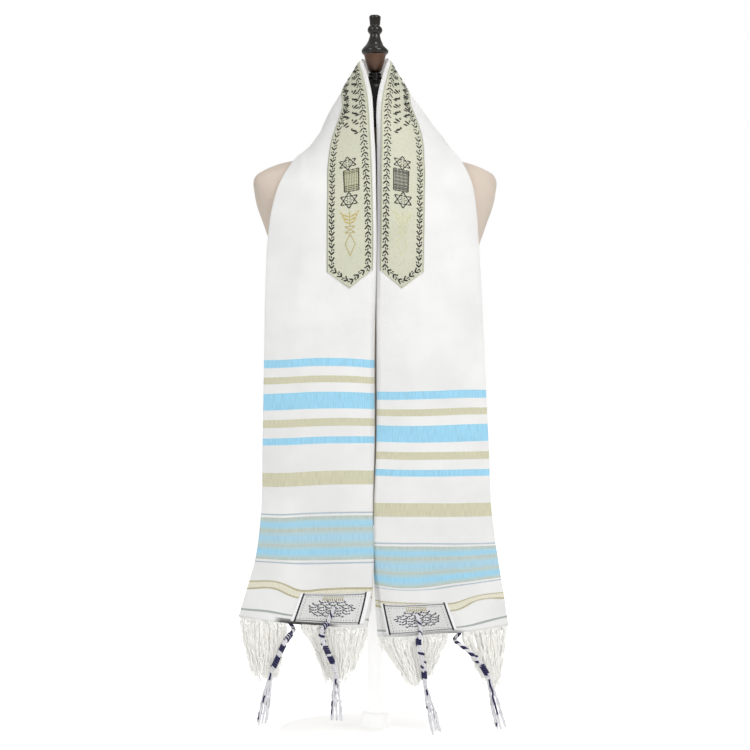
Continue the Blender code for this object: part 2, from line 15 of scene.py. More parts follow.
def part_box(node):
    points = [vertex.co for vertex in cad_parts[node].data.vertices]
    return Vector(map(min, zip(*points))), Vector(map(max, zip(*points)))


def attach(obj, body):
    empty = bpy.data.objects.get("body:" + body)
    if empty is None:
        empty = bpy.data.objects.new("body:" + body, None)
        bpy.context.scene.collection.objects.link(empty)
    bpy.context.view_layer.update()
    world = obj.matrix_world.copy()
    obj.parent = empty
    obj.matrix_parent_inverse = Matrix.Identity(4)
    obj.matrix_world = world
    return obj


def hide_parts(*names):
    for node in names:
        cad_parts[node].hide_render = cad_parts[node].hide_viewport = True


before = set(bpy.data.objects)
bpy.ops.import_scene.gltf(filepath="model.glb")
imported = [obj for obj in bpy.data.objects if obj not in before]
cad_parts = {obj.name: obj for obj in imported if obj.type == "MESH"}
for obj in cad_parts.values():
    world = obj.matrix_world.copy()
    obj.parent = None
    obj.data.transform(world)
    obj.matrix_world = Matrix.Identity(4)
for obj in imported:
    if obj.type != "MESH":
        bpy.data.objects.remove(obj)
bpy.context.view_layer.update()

# ---- Camera and studio ---------------------------------------------------------------------------
# A long lens straight in front, level with the form's waist. A white room lights the shawl evenly,
# soft boxes at both sides, behind and above draw its folds, and a pale floor runs out to the white.

camera = bpy.data.objects.new("camera", bpy.data.cameras.new("camera"))
camera.data.lens = 100
camera.data.sensor_width = 36
camera.location = (0, -3.25, 0.558)
camera.rotation_euler = (radians(90), 0, 0)
bpy.context.collection.objects.link(camera)
bpy.context.scene.camera = camera

ROOM_LIGHT = 0.50
FLOOR_GLOW = 0.05
FLOOR_GLOW_SEEN = 0.60  # keeps the floor as pale as the room behind it
AIM = Vector((0, 0, 0.6))  # the place that every soft box faces
SOFT_BOXES = [  # name, place, size across, watts
    ("soft_box_left", (-1.9, -2.0, 2.3), 1.4, 24),
    ("soft_box_right", (1.6, -2.2, 2.5), 1.4, 48),
    ("soft_box_back", (0.6, 2.8, 2.4), 1.6, 24),
    ("soft_box_above", (0.25, -0.35, 2.9), 0.40, 3),
]
for name, place, across, watts in SOFT_BOXES:
    lamp = bpy.data.lights.new(name, "AREA")
    lamp.size = across
    lamp.energy = watts
    box = bpy.data.objects.new(name, lamp)
    box.location = place
    box.rotation_euler = (AIM - Vector(place)).to_track_quat("-Z", "Y").to_euler()
    bpy.context.collection.objects.link(box)


def split_strength(tree, strength, lit, seen):
    """Sets a strength to one value for the light that it gives, and another for the camera."""
    sight, pick = tree.nodes.new("ShaderNodeLightPath"), tree.nodes.new("ShaderNodeMix")
    pick.inputs["A"].default_value = lit
    pick.inputs["B"].default_value = seen
    tree.links.new(sight.outputs["Is Camera Ray"], pick.inputs["Factor"])
    tree.links.new(pick.outputs["Result"], strength)


room = bpy.data.worlds.new("white_room")
bpy.context.scene.world = room
room.use_nodes = True
background = room.node_tree.nodes["Background"]
background.inputs["Color"].default_value = (1, 1, 1, 1)
split_strength(room.node_tree, background.inputs["Strength"], ROOM_LIGHT, 1.0)
bpy.context.scene.view_settings.view_transform = "Standard"

bpy.ops.mesh.primitive_circle_add(vertices=96, radius=30, fill_type="NGON", location=(0, 0, -0.0005))
floor = bpy.context.object
floor.name = "studio_floor"
pale = bpy.data.materials.new("studio_white")
pale.use_nodes = True
pale_shader = pale.node_tree.nodes["Principled BSDF"]
for socket, value in (
    ("Base Color", (0.9, 0.9, 0.9, 1)),
    ("Roughness", 0.9),
    ("Specular IOR Level", 0.0),
    ("Emission Color", (1, 1, 1, 1)),
):
    pale_shader.inputs[socket].default_value = value
split_strength(pale.node_tree, pale_shader.inputs["Emission Strength"], FLOOR_GLOW, FLOOR_GLOW_SEEN)
floor.data.materials.append(pale)

# ---- Stand: plate, socket and pole ---------------------------------------------------------------
# A turned steel plate with a short socket, and a steel tube that carries the form. Both are powder
# coated white, with the fine orange peel of that finish.

TURNING_STEPS = 96  # faces to a turn


class Socket:
    """One output of a material's node, with arithmetic that adds Math nodes."""

    def __init__(self, finish, output):
        self.finish = finish
        self.output = output

    def math(self, operation, *others):
        return self.finish.node("ShaderNodeMath", {"operation": operation}, dict(enumerate((self, *others))))

    def __add__(self, other):
        return self.math("ADD", other)

    def __sub__(self, other):
        return self.math("SUBTRACT", other)

    def __mul__(self, other):
        return self.math("MULTIPLY", other)

    def __truediv__(self, other):
        return self.math("DIVIDE", other)

    def __rsub__(self, other):
        return self.finish.node("ShaderNodeMath", {"operation": "SUBTRACT"}, {0: other, 1: self})

    def __abs__(self):
        return self.math("ABSOLUTE")

    def within(self, middle, half):
        """1 where the value lies no further than half to either side of the middle, and 0 elsewhere."""
        return self.math("COMPARE", middle, half)

    def fade(self, reach):
        """1 where the value is 0, falling evenly to 0 where it comes to the reach."""
        return (1 - self / reach).math("MAXIMUM", 0)


class Finish:
    """A material with one Principled shader, and the nodes that vary it over a surface."""

    def __init__(self, name, colour, roughness, **fixed):
        self.material = bpy.data.materials.new(name)
        self.material.use_nodes = True
        self.material.diffuse_color = (*colour, 1)
        self.tree = self.material.node_tree
        self.shader = self.tree.nodes["Principled BSDF"]
        self.shader.inputs["Base Color"].default_value = (*colour, 1)
        self.shader.inputs["Roughness"].default_value = roughness
        for socket, value in fixed.items():
            self.shader.inputs[socket.replace("_", " ")].default_value = value

    def node(self, kind, settings=None, inputs=None, output=0):
        """Adds a node with its settings, then the values or links of its sockets; gives an output."""
        node = self.tree.nodes.new(kind)
        for name, value in (settings or {}).items():
            setattr(node, name, value)
        for name, value in (inputs or {}).items():
            if isinstance(value, Socket):
                self.tree.links.new(value.output, node.inputs[name])
            else:
                node.inputs[name].default_value = value
        return Socket(self, node.outputs[output])

    def blend(self, share, first, second):
        """One colour into another by a share; either is a socket or three numbers."""
        colours = {6: first, 7: second}
        ready = {k: v if isinstance(v, Socket) else (*v, 1) for k, v in colours.items()}
        return self.node("ShaderNodeMix", {"data_type": "RGBA"}, {0: share, **ready}, output=2)

    def parts(self, vector):
        """The three numbers of a vector."""
        split = self.node("ShaderNodeSeparateXYZ", {}, {"Vector": vector}).output.node
        return [Socket(self, output) for output in split.outputs]

    def weave_place(self):
        """The two coordinates of the piece's own weave map, in metres."""
        return self.parts(self.node("ShaderNodeUVMap", {"uv_map": "weave"}))[:2]

    def solid_place(self):
        """The place in space, in metres."""
        return self.node("ShaderNodeTexCoord", output=3)

    def noise(self, scale, detail, place=None, **settings):
        """Soft random values round 0.5, over the place in space if no other is given."""
        place = place or self.solid_place()
        return self.node("ShaderNodeTexNoise", settings, {"Vector": place, "Scale": scale, "Detail": detail})

    def flat_noise(self, across, down, detail):
        """The same over two coordinates that are scaled beforehand."""
        place = self.node("ShaderNodeCombineXYZ", {}, {"X": across, "Y": down})
        return self.noise(1, detail, place, noise_dimensions="2D")

    def feed(self, name, source):
        self.tree.links.new(source.output, self.shader.inputs[name])

    def raise_grain(self, height, depth):
        """Drives the normal from a height of 0 to 1 over the surface, by a depth in metres."""
        self.feed("Normal", self.node("ShaderNodeBump", {}, {"Height": height, "Distance": depth}))


def dye(red, green, blue):
    """A colour given in display steps from 0 to 255, as the linear values that a shader takes."""
    steps = np.array([red, green, blue]) / 255
    return tuple(np.where(steps > 0.04045, ((steps + 0.055) / 1.055) ** 2.4, steps / 12.92))


def turned(name, profile, material):
    """A closed shape turned about the Z axis from (radius, height) pairs, top to bottom."""
    made = bmesh.new()
    course = [made.verts.new((radius, 0, height)) for radius, height in profile]
    edges = [made.edges.new(pair) for pair in zip(course, course[1:])]
    about = {"axis": (0, 0, 1), "cent": (0, 0, 0), "angle": tau}
    bmesh.ops.spin(made, geom=course + edges, steps=TURNING_STEPS, use_merge=True, **about)
    bmesh.ops.remove_doubles(made, verts=made.verts, dist=1e-6)
    bmesh.ops.recalc_face_normals(made, faces=made.faces)
    mesh = bpy.data.meshes.new(name)
    made.to_mesh(mesh)
    made.free()
    return shown(name, mesh, material)


def shown(name, mesh, material, crease=40):
    """Puts a finished mesh in the scene, smooth but for edges sharper than the crease in degrees."""
    mesh.materials.clear()
    mesh.materials.append(material)
    mesh.shade_smooth()
    mesh.set_sharp_from_angle(angle=radians(crease))
    thing = bpy.data.objects.new(name, mesh)
    bpy.context.collection.objects.link(thing)
    return thing


def settle(thing, node=None):
    """Fixes a piece to the one body, and hides the CAD node whose place it takes."""
    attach(thing, "root")
    if node:
        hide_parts(node)
    return thing


def coated_steel():
    """White powder coat with its orange peel; the glow stands for the light of the white floor."""
    glow = {"Emission_Strength": 0.28, "Emission_Color": (1, 1, 1, 1)}
    finish = Finish("white_powder_coat", dye(250, 250, 249), 0.42, **glow)
    finish.raise_grain(finish.noise(900, 2), 0.00015)
    return finish.material


plate_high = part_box("stand_plate")[1]
pole_low, pole_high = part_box("stand_pole")
PLATE_THICKNESS = 0.008
SOCKET_RADIUS = 0.021
EDGE = 0.003  # an upper edge, rounded in two cuts
EDGE_CUT = 0.001
FILLET = 0.006  # between socket and plate, in two cuts too
FILLET_CUT = 0.002
plate_radius = plate_high.x
pole_radius = pole_high.x
plate_profile = [
    (0, plate_high.z),
    (SOCKET_RADIUS - EDGE, plate_high.z),
    (SOCKET_RADIUS - EDGE_CUT, plate_high.z - EDGE_CUT),
    (SOCKET_RADIUS, plate_high.z - EDGE),
    (SOCKET_RADIUS, PLATE_THICKNESS + FILLET),
    (SOCKET_RADIUS + FILLET_CUT, PLATE_THICKNESS + FILLET_CUT),
    (SOCKET_RADIUS + FILLET, PLATE_THICKNESS),
    (plate_radius - EDGE, PLATE_THICKNESS),
    (plate_radius - EDGE_CUT, PLATE_THICKNESS - EDGE_CUT),
    (plate_radius, PLATE_THICKNESS - EDGE),
    (plate_radius, EDGE_CUT),
    (plate_radius - EDGE_CUT, 0),
    (0, 0),
]
pole_profile = [(0, pole_high.z), (pole_radius, pole_high.z), (pole_radius, pole_low.z), (0, pole_low.z)]
powder_coat = coated_steel()
for piece, profile in (("stand_plate", plate_profile), ("stand_pole", pole_profile)):
    settle(turned(f"{piece}_finished", profile, powder_coat), piece)

# ---- Dress form: body, neck and finial -----------------------------------------------------------
# A moulded limbless torso in a tight beige jersey cover, sewn at the sides and centre back, closed
# below with a board. On it stands a turned neck in black gloss and a lacquered wooden finial.

FORM_LEVELS = [  # height, half width, depth in front, depth behind, roundness
    (0.330, 0.148, 0.094, 0.104, 2.3),
    (0.350, 0.153, 0.098, 0.110, 2.3),
    (0.400, 0.156, 0.100, 0.115, 2.3),
    (0.460, 0.143, 0.092, 0.104, 2.3),
    (0.535, 0.126, 0.084, 0.086, 2.3),
    (0.620, 0.137, 0.096, 0.093, 2.3),
    (0.700, 0.151, 0.113, 0.108, 2.3),
    (0.745, 0.158, 0.113, 0.116, 2.3),
    (0.785, 0.1710, 0.105, 0.120, 2.3),
    (0.820, 0.1835, 0.094, 0.118, 2.3),
    (0.843, 0.1880, 0.079, 0.113, 2.3),
    (0.858, 0.1895, 0.061, 0.109, 2.3),
    (0.869, 0.1850, 0.050, 0.104, 2.3),
    (0.877, 0.1735, 0.043, 0.099, 2.2),
    (0.8846, 0.1560, 0.039, 0.093, 2.1),
    (0.8900, 0.1370, 0.038, 0.087, 2.0),
    (0.897, 0.0960, 0.038, 0.079, 2.0),
    (0.909, 0.0680, 0.041, 0.066, 2.0),
    (0.922, 0.0560, 0.042, 0.056, 2.0),
    (0.9397, 0.0480, 0.043, 0.048, 2.0),
]
FORM_SIDES = 128
FORM_STEPS = 6  # rows to each level of the table
BOARD_RINGS = (0.02, 0.6, 0.985)  # shares of the foot's width, from its middle out
LID_RINGS = (0.5, 0.02)  # shares of the top's width, inwards under the neck
WALES = 640  # stitches round the chest
COURSES_TO_A_METRE = 900
SEAM_PLACES = (0.0, 0.25, 0.5, 1.0)  # shares of the way round: one side, the centre back, the other
SEAM_SHARE = 0.0012


def smooth_rows(rows, knots, places):
    """Rows of values at places along a smooth curve through the given rows."""
    rows, knots, places = np.asarray(rows, float), np.asarray(knots, float), np.asarray(places, float)
    slopes = np.gradient(rows, knots, axis=0)
    i = np.clip(np.searchsorted(knots, places) - 1, 0, len(knots) - 2)
    span = (knots[i + 1] - knots[i])[..., None]
    t = (places - knots[i])[..., None] / span
    return (
        (2 * t**3 - 3 * t**2 + 1) * rows[i]
        + (t**3 - 2 * t**2 + t) * span * slopes[i]
        + (3 * t**2 - 2 * t**3) * rows[i + 1]
        + (t**3 - t**2) * span * slopes[i + 1]
    )


def reaches(points):
    """How far along a line of points each one lies."""
    return np.concatenate([[0], np.cumsum(np.linalg.norm(np.diff(points, axis=0), axis=1))])


def grid_mesh(name, points, uv, round_about=False):
    """Quads through rows of points, with a UV map for the weave; round_about closes each row."""
    rows, columns = points.shape[:2]
    index = np.arange(rows * columns).reshape(rows, columns)
    right = np.roll(index, -1, axis=1) if round_about else index[:, 1:]
    left = index if round_about else index[:, :-1]
    quads = np.stack([left[:-1], right[:-1], right[1:], left[1:]], axis=-1).reshape(-1, 4)
    mesh = bpy.data.meshes.new(name)
    mesh.from_pydata(points.reshape(-1, 3).tolist(), [], quads.tolist())
    corners = np.zeros(len(mesh.loops), np.int32)
    mesh.loops.foreach_get("vertex_index", corners)
    mesh.uv_layers.new(name="weave").data.foreach_set("uv", uv.reshape(-1, 2)[corners].ravel())
    mesh.update()
    return mesh


def make_body():
    """The torso's rings, with the board under them."""
    levels = np.array(FORM_LEVELS)
    knots = np.arange(len(levels))
    places = np.linspace(0, knots[-1], knots[-1] * FORM_STEPS + 1)
    angles = np.linspace(0, tau, FORM_SIDES, endpoint=False)
    rings = []
    for height, half_width, front, back, roundness in smooth_rows(levels, knots, places):
        power = 2 / roundness
        x = np.sign(np.cos(angles)) * np.abs(np.cos(angles)) ** power * half_width
        y = np.sign(np.sin(angles)) * np.abs(np.sin(angles)) ** power
        y *= np.where(y > 0, back, front)
        rings.append(np.stack([x, y, np.full(FORM_SIDES, height)], axis=1))
    board = [rings[0] * (share, share, 1) for share in BOARD_RINGS]
    lid = [rings[-1] * (share, share, 1) for share in LID_RINGS]
    rings = np.array(board + rings + lid)
    around = np.broadcast_to(angles / tau, rings.shape[:2])
    return grid_mesh("form_body_finished", rings, np.stack([around, rings[..., 2]], axis=-1), True)


def jersey():
    """Fine beige knit with a seam down each side and the centre back."""
    finish = Finish("beige_jersey", dye(220, 205, 190), 0.9, Sheen_Weight=0.25)
    around, height = finish.weave_place()
    knit = (around * WALES * tau).math("SINE") * (height * COURSES_TO_A_METRE * tau).math("SINE")
    seams = 0
    for where in SEAM_PLACES:
        seams = around.within(where, SEAM_SHARE) + seams
    finish.feed("Base Color", finish.blend(finish.noise(9, 3), dye(236, 220, 204), dye(220, 203, 187)))
    finish.raise_grain(knit * 0.5 - seams * 2.0, 0.0004)
    return finish.material


body = settle(shown("form_body_finished", make_body(), jersey()), "form_body")

NECK_PROFILE = [
    (0, 1.0295), (0.0085, 1.0295), (0.0105, 1.0270), (0.0090, 1.0245), (0.0125, 1.0210),
    (0.0115, 1.0180), (0.0160, 1.0140), (0.0235, 1.0080), (0.0285, 0.9980), (0.0335, 0.9850),
    (0.0385, 0.9700), (0.0430, 0.9550), (0.0465, 0.9400), (0, 0.9400),
]
FINIAL_PROFILE = [
    (0, 1.1200), (0.0062, 1.1196), (0.0088, 1.1180), (0.0092, 1.1155), (0.0086, 1.1110),
    (0.0080, 1.1045), (0.0078, 1.1030), (0.0102, 1.1010), (0.0117, 1.0975), (0.0115, 1.0940),
    (0.0096, 1.0910), (0.0077, 1.0892), (0.0086, 1.0850), (0.0108, 1.0785), (0.0140, 1.0730),
    (0.0180, 1.0688), (0.0208, 1.0652), (0.0212, 1.0622), (0.0198, 1.0592), (0.0170, 1.0570),
    (0.0164, 1.0540), (0.0146, 1.0470), (0.0122, 1.0400), (0.0098, 1.0298), (0, 1.0298),
]
SWELL_FOOT = 1.0290
SWELL_TOP = 1.0580
BROWN_STEEPNESS = 80  # the brown comes in over about a centimetre
CORNER_CUTS = 2


def eased(profile):
    """A turned profile with its inner corners cut round; the two ends stay."""
    points = np.array(profile)
    for _ in range(CORNER_CUTS):
        near = points[:-1] * 0.75 + points[1:] * 0.25
        far = points[:-1] * 0.25 + points[1:] * 0.75
        cut = np.stack([near, far], axis=1).reshape(-1, 2)
        points = np.vstack([points[:1], cut[1:-1], points[-1:]])
    return points


def lacquered_wood():
    """Dark turned wood, brown on its lower swell and darker towards the swell's foot, under a clear coat."""
    coat = {"Specular_IOR_Level": 0.27, "Coat_Weight": 0.45, "Coat_Roughness": 0.10}
    finish = Finish("lacquered_wood", dye(36, 32, 26), 0.28, **coat)
    place = finish.solid_place()
    height = finish.parts(place)[2]
    stretched = finish.node("ShaderNodeMapping", {}, {"Vector": place, "Scale": (160, 160, 14)})
    figure = finish.noise(1, 4, stretched)
    # brown over the swell, fading to dark towards its foot
    brown_share = (height - SWELL_FOOT) * BROWN_STEEPNESS
    brown = finish.blend(figure, dye(66, 41, 28), dye(102, 68, 46))
    dark = finish.blend(figure, dye(14, 12, 10), dye(32, 27, 20))
    lower = finish.blend(brown_share, dark, brown)
    finish.feed("Base Color", finish.blend(height.math("GREATER_THAN", SWELL_TOP), lower, dark))
    return finish.material


gloss_black = Finish("gloss_black", dye(12, 10, 11), 0.25, Specular_IOR_Level=0.3).material
for piece, profile, material, slot in (
    ("form_neck", NECK_PROFILE, gloss_black, "form_neck_black"),
    ("finial", FINIAL_PROFILE, lacquered_wood(), "finial_wood"),
):
    settle(turned(f"{piece}_finished", eased(profile), material), piece)

# ---- Shawl ---------------------------------------------------------------------------------------
# One long cloth of fine white wool, folded lengthwise in three and laid round the neck as a stole.
# The blue and gilt stripes are woven in: they cross the cloth near both hems, one set to each.

HEM = 0.930  # from the middle of the nape to either hem, along the cloth
LAYER_PITCH = 0.0024
CLOTH_WALL = 0.0008
FREE_EDGE = 0.97  # the hidden third stops just inside the outer fold
FOLD_ARC_STEPS = 5
ROW_STRETCHES = ((0.0, 0.20, 50), (0.20, 0.60, 62), (0.60, HEM, 76))  # from, to and how many rows
COLUMNS_TO_A_LAYER = 40
SIDES = {"left": -1, "right": 1}  # the sign, on that side, of x and of a place along the cloth

# Sections of the middle layer: the place along the cloth, then x, y and z of its neck edge, of its
# middle and of its outer fold, and how far in the hidden layers' tuck lies, as a share of the width.
LEFT_SECTIONS = [
    (0.000, 0.0000, 0.0205, 1.0440, 0.0000, 0.0560, 0.977, 0.0000, 0.0960, 0.905, 0.015),
    (0.030, 0.0180, 0.0020, 1.0500, 0.0425, 0.0470, 0.984, 0.0400, 0.0930, 0.905, 0.015),
    (0.070, 0.0120, -0.0270, 1.0260, 0.0690, 0.0260, 0.969, 0.0705, 0.0770, 0.904, 0.015),
    (0.110, 0.0042, -0.0480, 0.9900, 0.0750, 0.0020, 0.948, 0.0868, 0.0520, 0.904, 0.015),
    (0.150, 0.0018, -0.0640, 0.9520, 0.0765, -0.0280, 0.930, 0.1030, 0.0230, 0.9035, 0.015),
    (0.175, 0.0008, -0.0740, 0.9280, 0.0790, -0.0490, 0.907, 0.1160, -0.0070, 0.8990, 0.015),
    (0.205, -0.0006, -0.0850, 0.9000, 0.0810, -0.0690, 0.880, 0.1280, -0.0360, 0.882, 0.015),
    (0.250, -0.0014, -0.1010, 0.8590, 0.0820, -0.0920, 0.844, 0.1450, -0.0600, 0.849, 0.015),
    (0.300, -0.0018, -0.1140, 0.8110, 0.0830, -0.1105, 0.800, 0.1560, -0.0770, 0.805, 0.015),
    (0.350, -0.0022, -0.1230, 0.7620, 0.0830, -0.1230, 0.757, 0.1610, -0.0930, 0.757, 0.015),
    (0.410, -0.0012, -0.1290, 0.7020, 0.0830, -0.1310, 0.698, 0.1630, -0.1070, 0.698, 0.015),
    (0.510, 0.0010, -0.1300, 0.6020, 0.0835, -0.1350, 0.599, 0.1645, -0.1150, 0.600, 0.015),
    (0.660, 0.0012, -0.1290, 0.4520, 0.0845, -0.1340, 0.449, 0.1670, -0.1180, 0.451, 0.015),
    (0.760, 0.0036, -0.1280, 0.3520, 0.0860, -0.1330, 0.349, 0.1690, -0.1190, 0.354, 0.015),
    (0.840, 0.0024, -0.1270, 0.2720, 0.0895, -0.1330, 0.270, 0.1790, -0.1210, 0.277, 0.010),
    (0.890, 0.0060, -0.1265, 0.2190, 0.0980, -0.1330, 0.222, 0.1920, -0.1230, 0.232, 0.000),
    (0.930, 0.0125, -0.1260, 0.1790, 0.1050, -0.1330, 0.184, 0.2030, -0.1250, 0.195, 0.000),
]

RIGHT_SECTIONS = LEFT_SECTIONS[:1] + [
    (0.030, 0.0180, 0.0020, 1.0510, 0.0415, 0.0470, 0.983, 0.0400, 0.0930, 0.905, 0.015),
    (0.070, 0.0120, -0.0270, 1.0260, 0.0715, 0.0260, 0.970, 0.0760, 0.0770, 0.904, 0.015),
    (0.110, 0.0036, -0.0480, 0.9900, 0.0850, 0.0020, 0.951, 0.1000, 0.0520, 0.9040, 0.015),
    (0.150, 0.0014, -0.0640, 0.9520, 0.0860, -0.0280, 0.934, 0.1180, 0.0230, 0.9030, 0.015),
    (0.175, 0.0022, -0.0740, 0.9280, 0.0860, -0.0490, 0.910, 0.1270, -0.0070, 0.8980, 0.015),
    (0.205, 0.0026, -0.0850, 0.9000, 0.0850, -0.0690, 0.881, 0.1350, -0.0360, 0.881, 0.015),
    (0.250, 0.0030, -0.1010, 0.8590, 0.0850, -0.0920, 0.844, 0.1470, -0.0600, 0.849, 0.015),
    (0.300, 0.0036, -0.1140, 0.8110, 0.0845, -0.1105, 0.800, 0.1525, -0.0770, 0.805, 0.015),
    (0.350, 0.0036, -0.1230, 0.7620, 0.0835, -0.1230, 0.757, 0.1550, -0.0930, 0.757, 0.015),
    (0.410, 0.0028, -0.1290, 0.7020, 0.0825, -0.1310, 0.698, 0.1580, -0.1070, 0.698, 0.015),
    (0.510, 0.0028, -0.1300, 0.6020, 0.0840, -0.1350, 0.599, 0.1620, -0.1150, 0.600, 0.015),
    (0.660, 0.0024, -0.1290, 0.4520, 0.0865, -0.1340, 0.449, 0.1690, -0.1180, 0.451, 0.015),
    (0.760, -0.0008, -0.1280, 0.3520, 0.0885, -0.1330, 0.349, 0.1735, -0.1190, 0.352, 0.015),
    (0.840, 0.0012, -0.1270, 0.2700, 0.0945, -0.1330, 0.265, 0.1850, -0.1210, 0.270, -0.010),
    (0.890, 0.0085, -0.1265, 0.2090, 0.1010, -0.1330, 0.210, 0.1930, -0.1230, 0.222, -0.035),
    (0.930, 0.0150, -0.1260, 0.1650, 0.1060, -0.1330, 0.171, 0.1990, -0.1250, 0.181, -0.055),
]

# Waves that open towards each hem, where the weight of the fringes no longer holds the cloth flat.
WAVE_START = 0.62
WAVE_DEPTH = {"left": 0.0050, "right": 0.0060}
WAVES_ACROSS = {"left": 1.6, "right": 1.8}

# Soft creases of the laid cloth: where each begins and ends, along and across, with how far it
# reaches to either side of its line and how high it stands, in metres.
CREASES = [
    (-0.30, 0.05, -0.52, 0.62, 0.012, 0.0012),
    (-0.24, 0.55, -0.60, 0.80, 0.014, 0.0016),
    (-0.42, 0.10, -0.90, 0.30, 0.016, 0.0012),
    (-0.60, 0.90, -0.90, 0.72, 0.014, 0.0016),
    (-0.70, 0.15, -0.86, 0.05, 0.010, 0.0012),
    (0.28, 0.60, 0.58, 0.85, 0.014, 0.0016),
    (0.34, 0.08, 0.62, 0.40, 0.013, 0.0012),
    (0.50, 0.90, 0.86, 0.66, 0.016, 0.0018),
    (0.62, 0.12, 0.90, 0.34, 0.015, 0.0014),
    (0.74, 0.60, 0.92, 0.86, 0.012, 0.0016),
    (0.16, 0.90, 0.30, 0.60, 0.012, 0.0014),
    (-0.14, 0.92, -0.28, 0.64, 0.012, 0.0014),
    (-0.05, 0.95, 0.04, 0.55, 0.012, 0.0012),
]
CREASED_WIDTH = 0.16  # the width of the fold, as far as the creases go

MIRROR = np.array([-1, -1, 1, 1, -1, 1, 1, -1, 1, 1, 1])  # on the left, along and every x are negative
SECTIONS = np.vstack([np.array(LEFT_SECTIONS)[::-1] * MIRROR, RIGHT_SECTIONS[1:]])
PAST_HEM = 0.02  # how far the table may be drawn out beyond either hem


def section_at(along):
    """The section's values at places along the cloth, from the left hem over the nape to the right."""
    along = np.clip(along, SECTIONS[0, 0] - PAST_HEM, SECTIONS[-1, 0] + PAST_HEM)
    return smooth_rows(SECTIONS[:, 1:], SECTIONS[:, 0], along)


def tuck_at(along):
    """How far in the hidden layers' tuck lies at one place along the cloth."""
    return float(section_at(np.array([along]))[0, 9])


def middle_surface(along, share):
    """The middle layer's points, curved across from the neck edge to the outer edge."""
    along, share = np.broadcast_arrays(along, share)
    row = section_at(along)
    u = share[..., None]
    points = (
        (2 * u - 1) * (u - 1) * row[..., 0:3]
        + 4 * u * (1 - u) * row[..., 3:6]
        + u * (2 * u - 1) * row[..., 6:9]
    )
    for side, sign in SIDES.items():
        opening = np.clip((np.abs(along) - WAVE_START) / (HEM - WAVE_START), 0, 1.1) ** 2
        wave = WAVE_DEPTH[side] * opening * np.sin(2 * pi * WAVES_ACROSS[side] * share)
        points[..., 1] -= np.where((along >= 0) == (sign > 0), wave, 0.0)
    return points


def crease_height(along, share):
    """How far the creases lift the cloth, fading at their two ends."""
    lift = np.zeros(np.broadcast(along, share).shape)
    for first, first_share, last, last_share, reach, rise in CREASES:
        start = np.array([first, first_share * CREASED_WIDTH])
        run = np.array([last, last_share * CREASED_WIDTH]) - start
        length = np.linalg.norm(run)
        run = run / length
        ahead, aside = along - start[0], share * CREASED_WIDTH - start[1]
        down = ahead * run[0] + aside * run[1]
        off = -ahead * run[1] + aside * run[0]
        fade = np.clip(np.sin(pi * np.clip(down / length, 0, 1)), 0, 1)
        lift += rise * fade * np.exp(-((off / reach) ** 2))
    return lift


def on_cloth(along, share, height):
    """Points that stand a height off the middle layer, outwards from the form."""
    step = 1e-4
    points = middle_surface(along, share)
    down = middle_surface(along + step, share) - middle_surface(along - step, share)
    across = middle_surface(along, share + step) - middle_surface(along, share - step)
    outwards = np.cross(down, across)
    outwards /= np.linalg.norm(outwards, axis=-1, keepdims=True)
    lift = np.asarray(height) + crease_height(along, share)
    return points + outwards * lift[..., None]


def folded_width(along):
    """How wide the folded cloth is, straight across from its neck edge to its outer fold."""
    row = section_at(along)
    return np.linalg.norm(row[..., 6:9] - row[..., 0:3], axis=-1)


def folded_across(along, columns):
    """One section through the three layers: shares of the width, heights and flat places across."""
    tuck = tuck_at(along)
    width = float(folded_width(np.array([along]))[0])
    bend = LAYER_PITCH / 2
    turns = np.linspace(pi / 2, -pi / 2, FOLD_ARC_STEPS + 2)[1:-1]
    shares = [
        columns,
        1 + bend * np.cos(turns) / width,
        tuck + columns[::-1] * (1 - tuck),
        tuck - bend * np.cos(turns) / width,
        tuck + columns * (FREE_EDGE - tuck),
    ]
    heights = [
        np.full(len(columns), LAYER_PITCH),
        bend + bend * np.sin(turns),
        np.zeros(len(columns)),
        -bend + bend * np.sin(turns),
        np.full(len(columns), -LAYER_PITCH),
    ]
    shares, heights = np.concatenate(shares), np.concatenate(heights)
    return shares, heights, reaches(np.stack([shares * width, heights], axis=1))


# Where the woven pattern comes on each half: places along the cloth, and how far from the hem each
# lies in the pattern as woven.
PATTERN_PLACES = {
    "left": ((0, 0.527, 0.717, 0.7635, 0.8358, 0.93), (0.924, 0.397, 0.206, 0.160, 0.088, 0)),
    "right": (
        (0, 0.575, 0.762, 0.806, 0.8633, 0.866, 0.885, 0.921, 0.93),
        (0.972, 0.397, 0.206, 0.160, 0.094, 0.088, 0.0525, 0.012, 0),
    ),
}

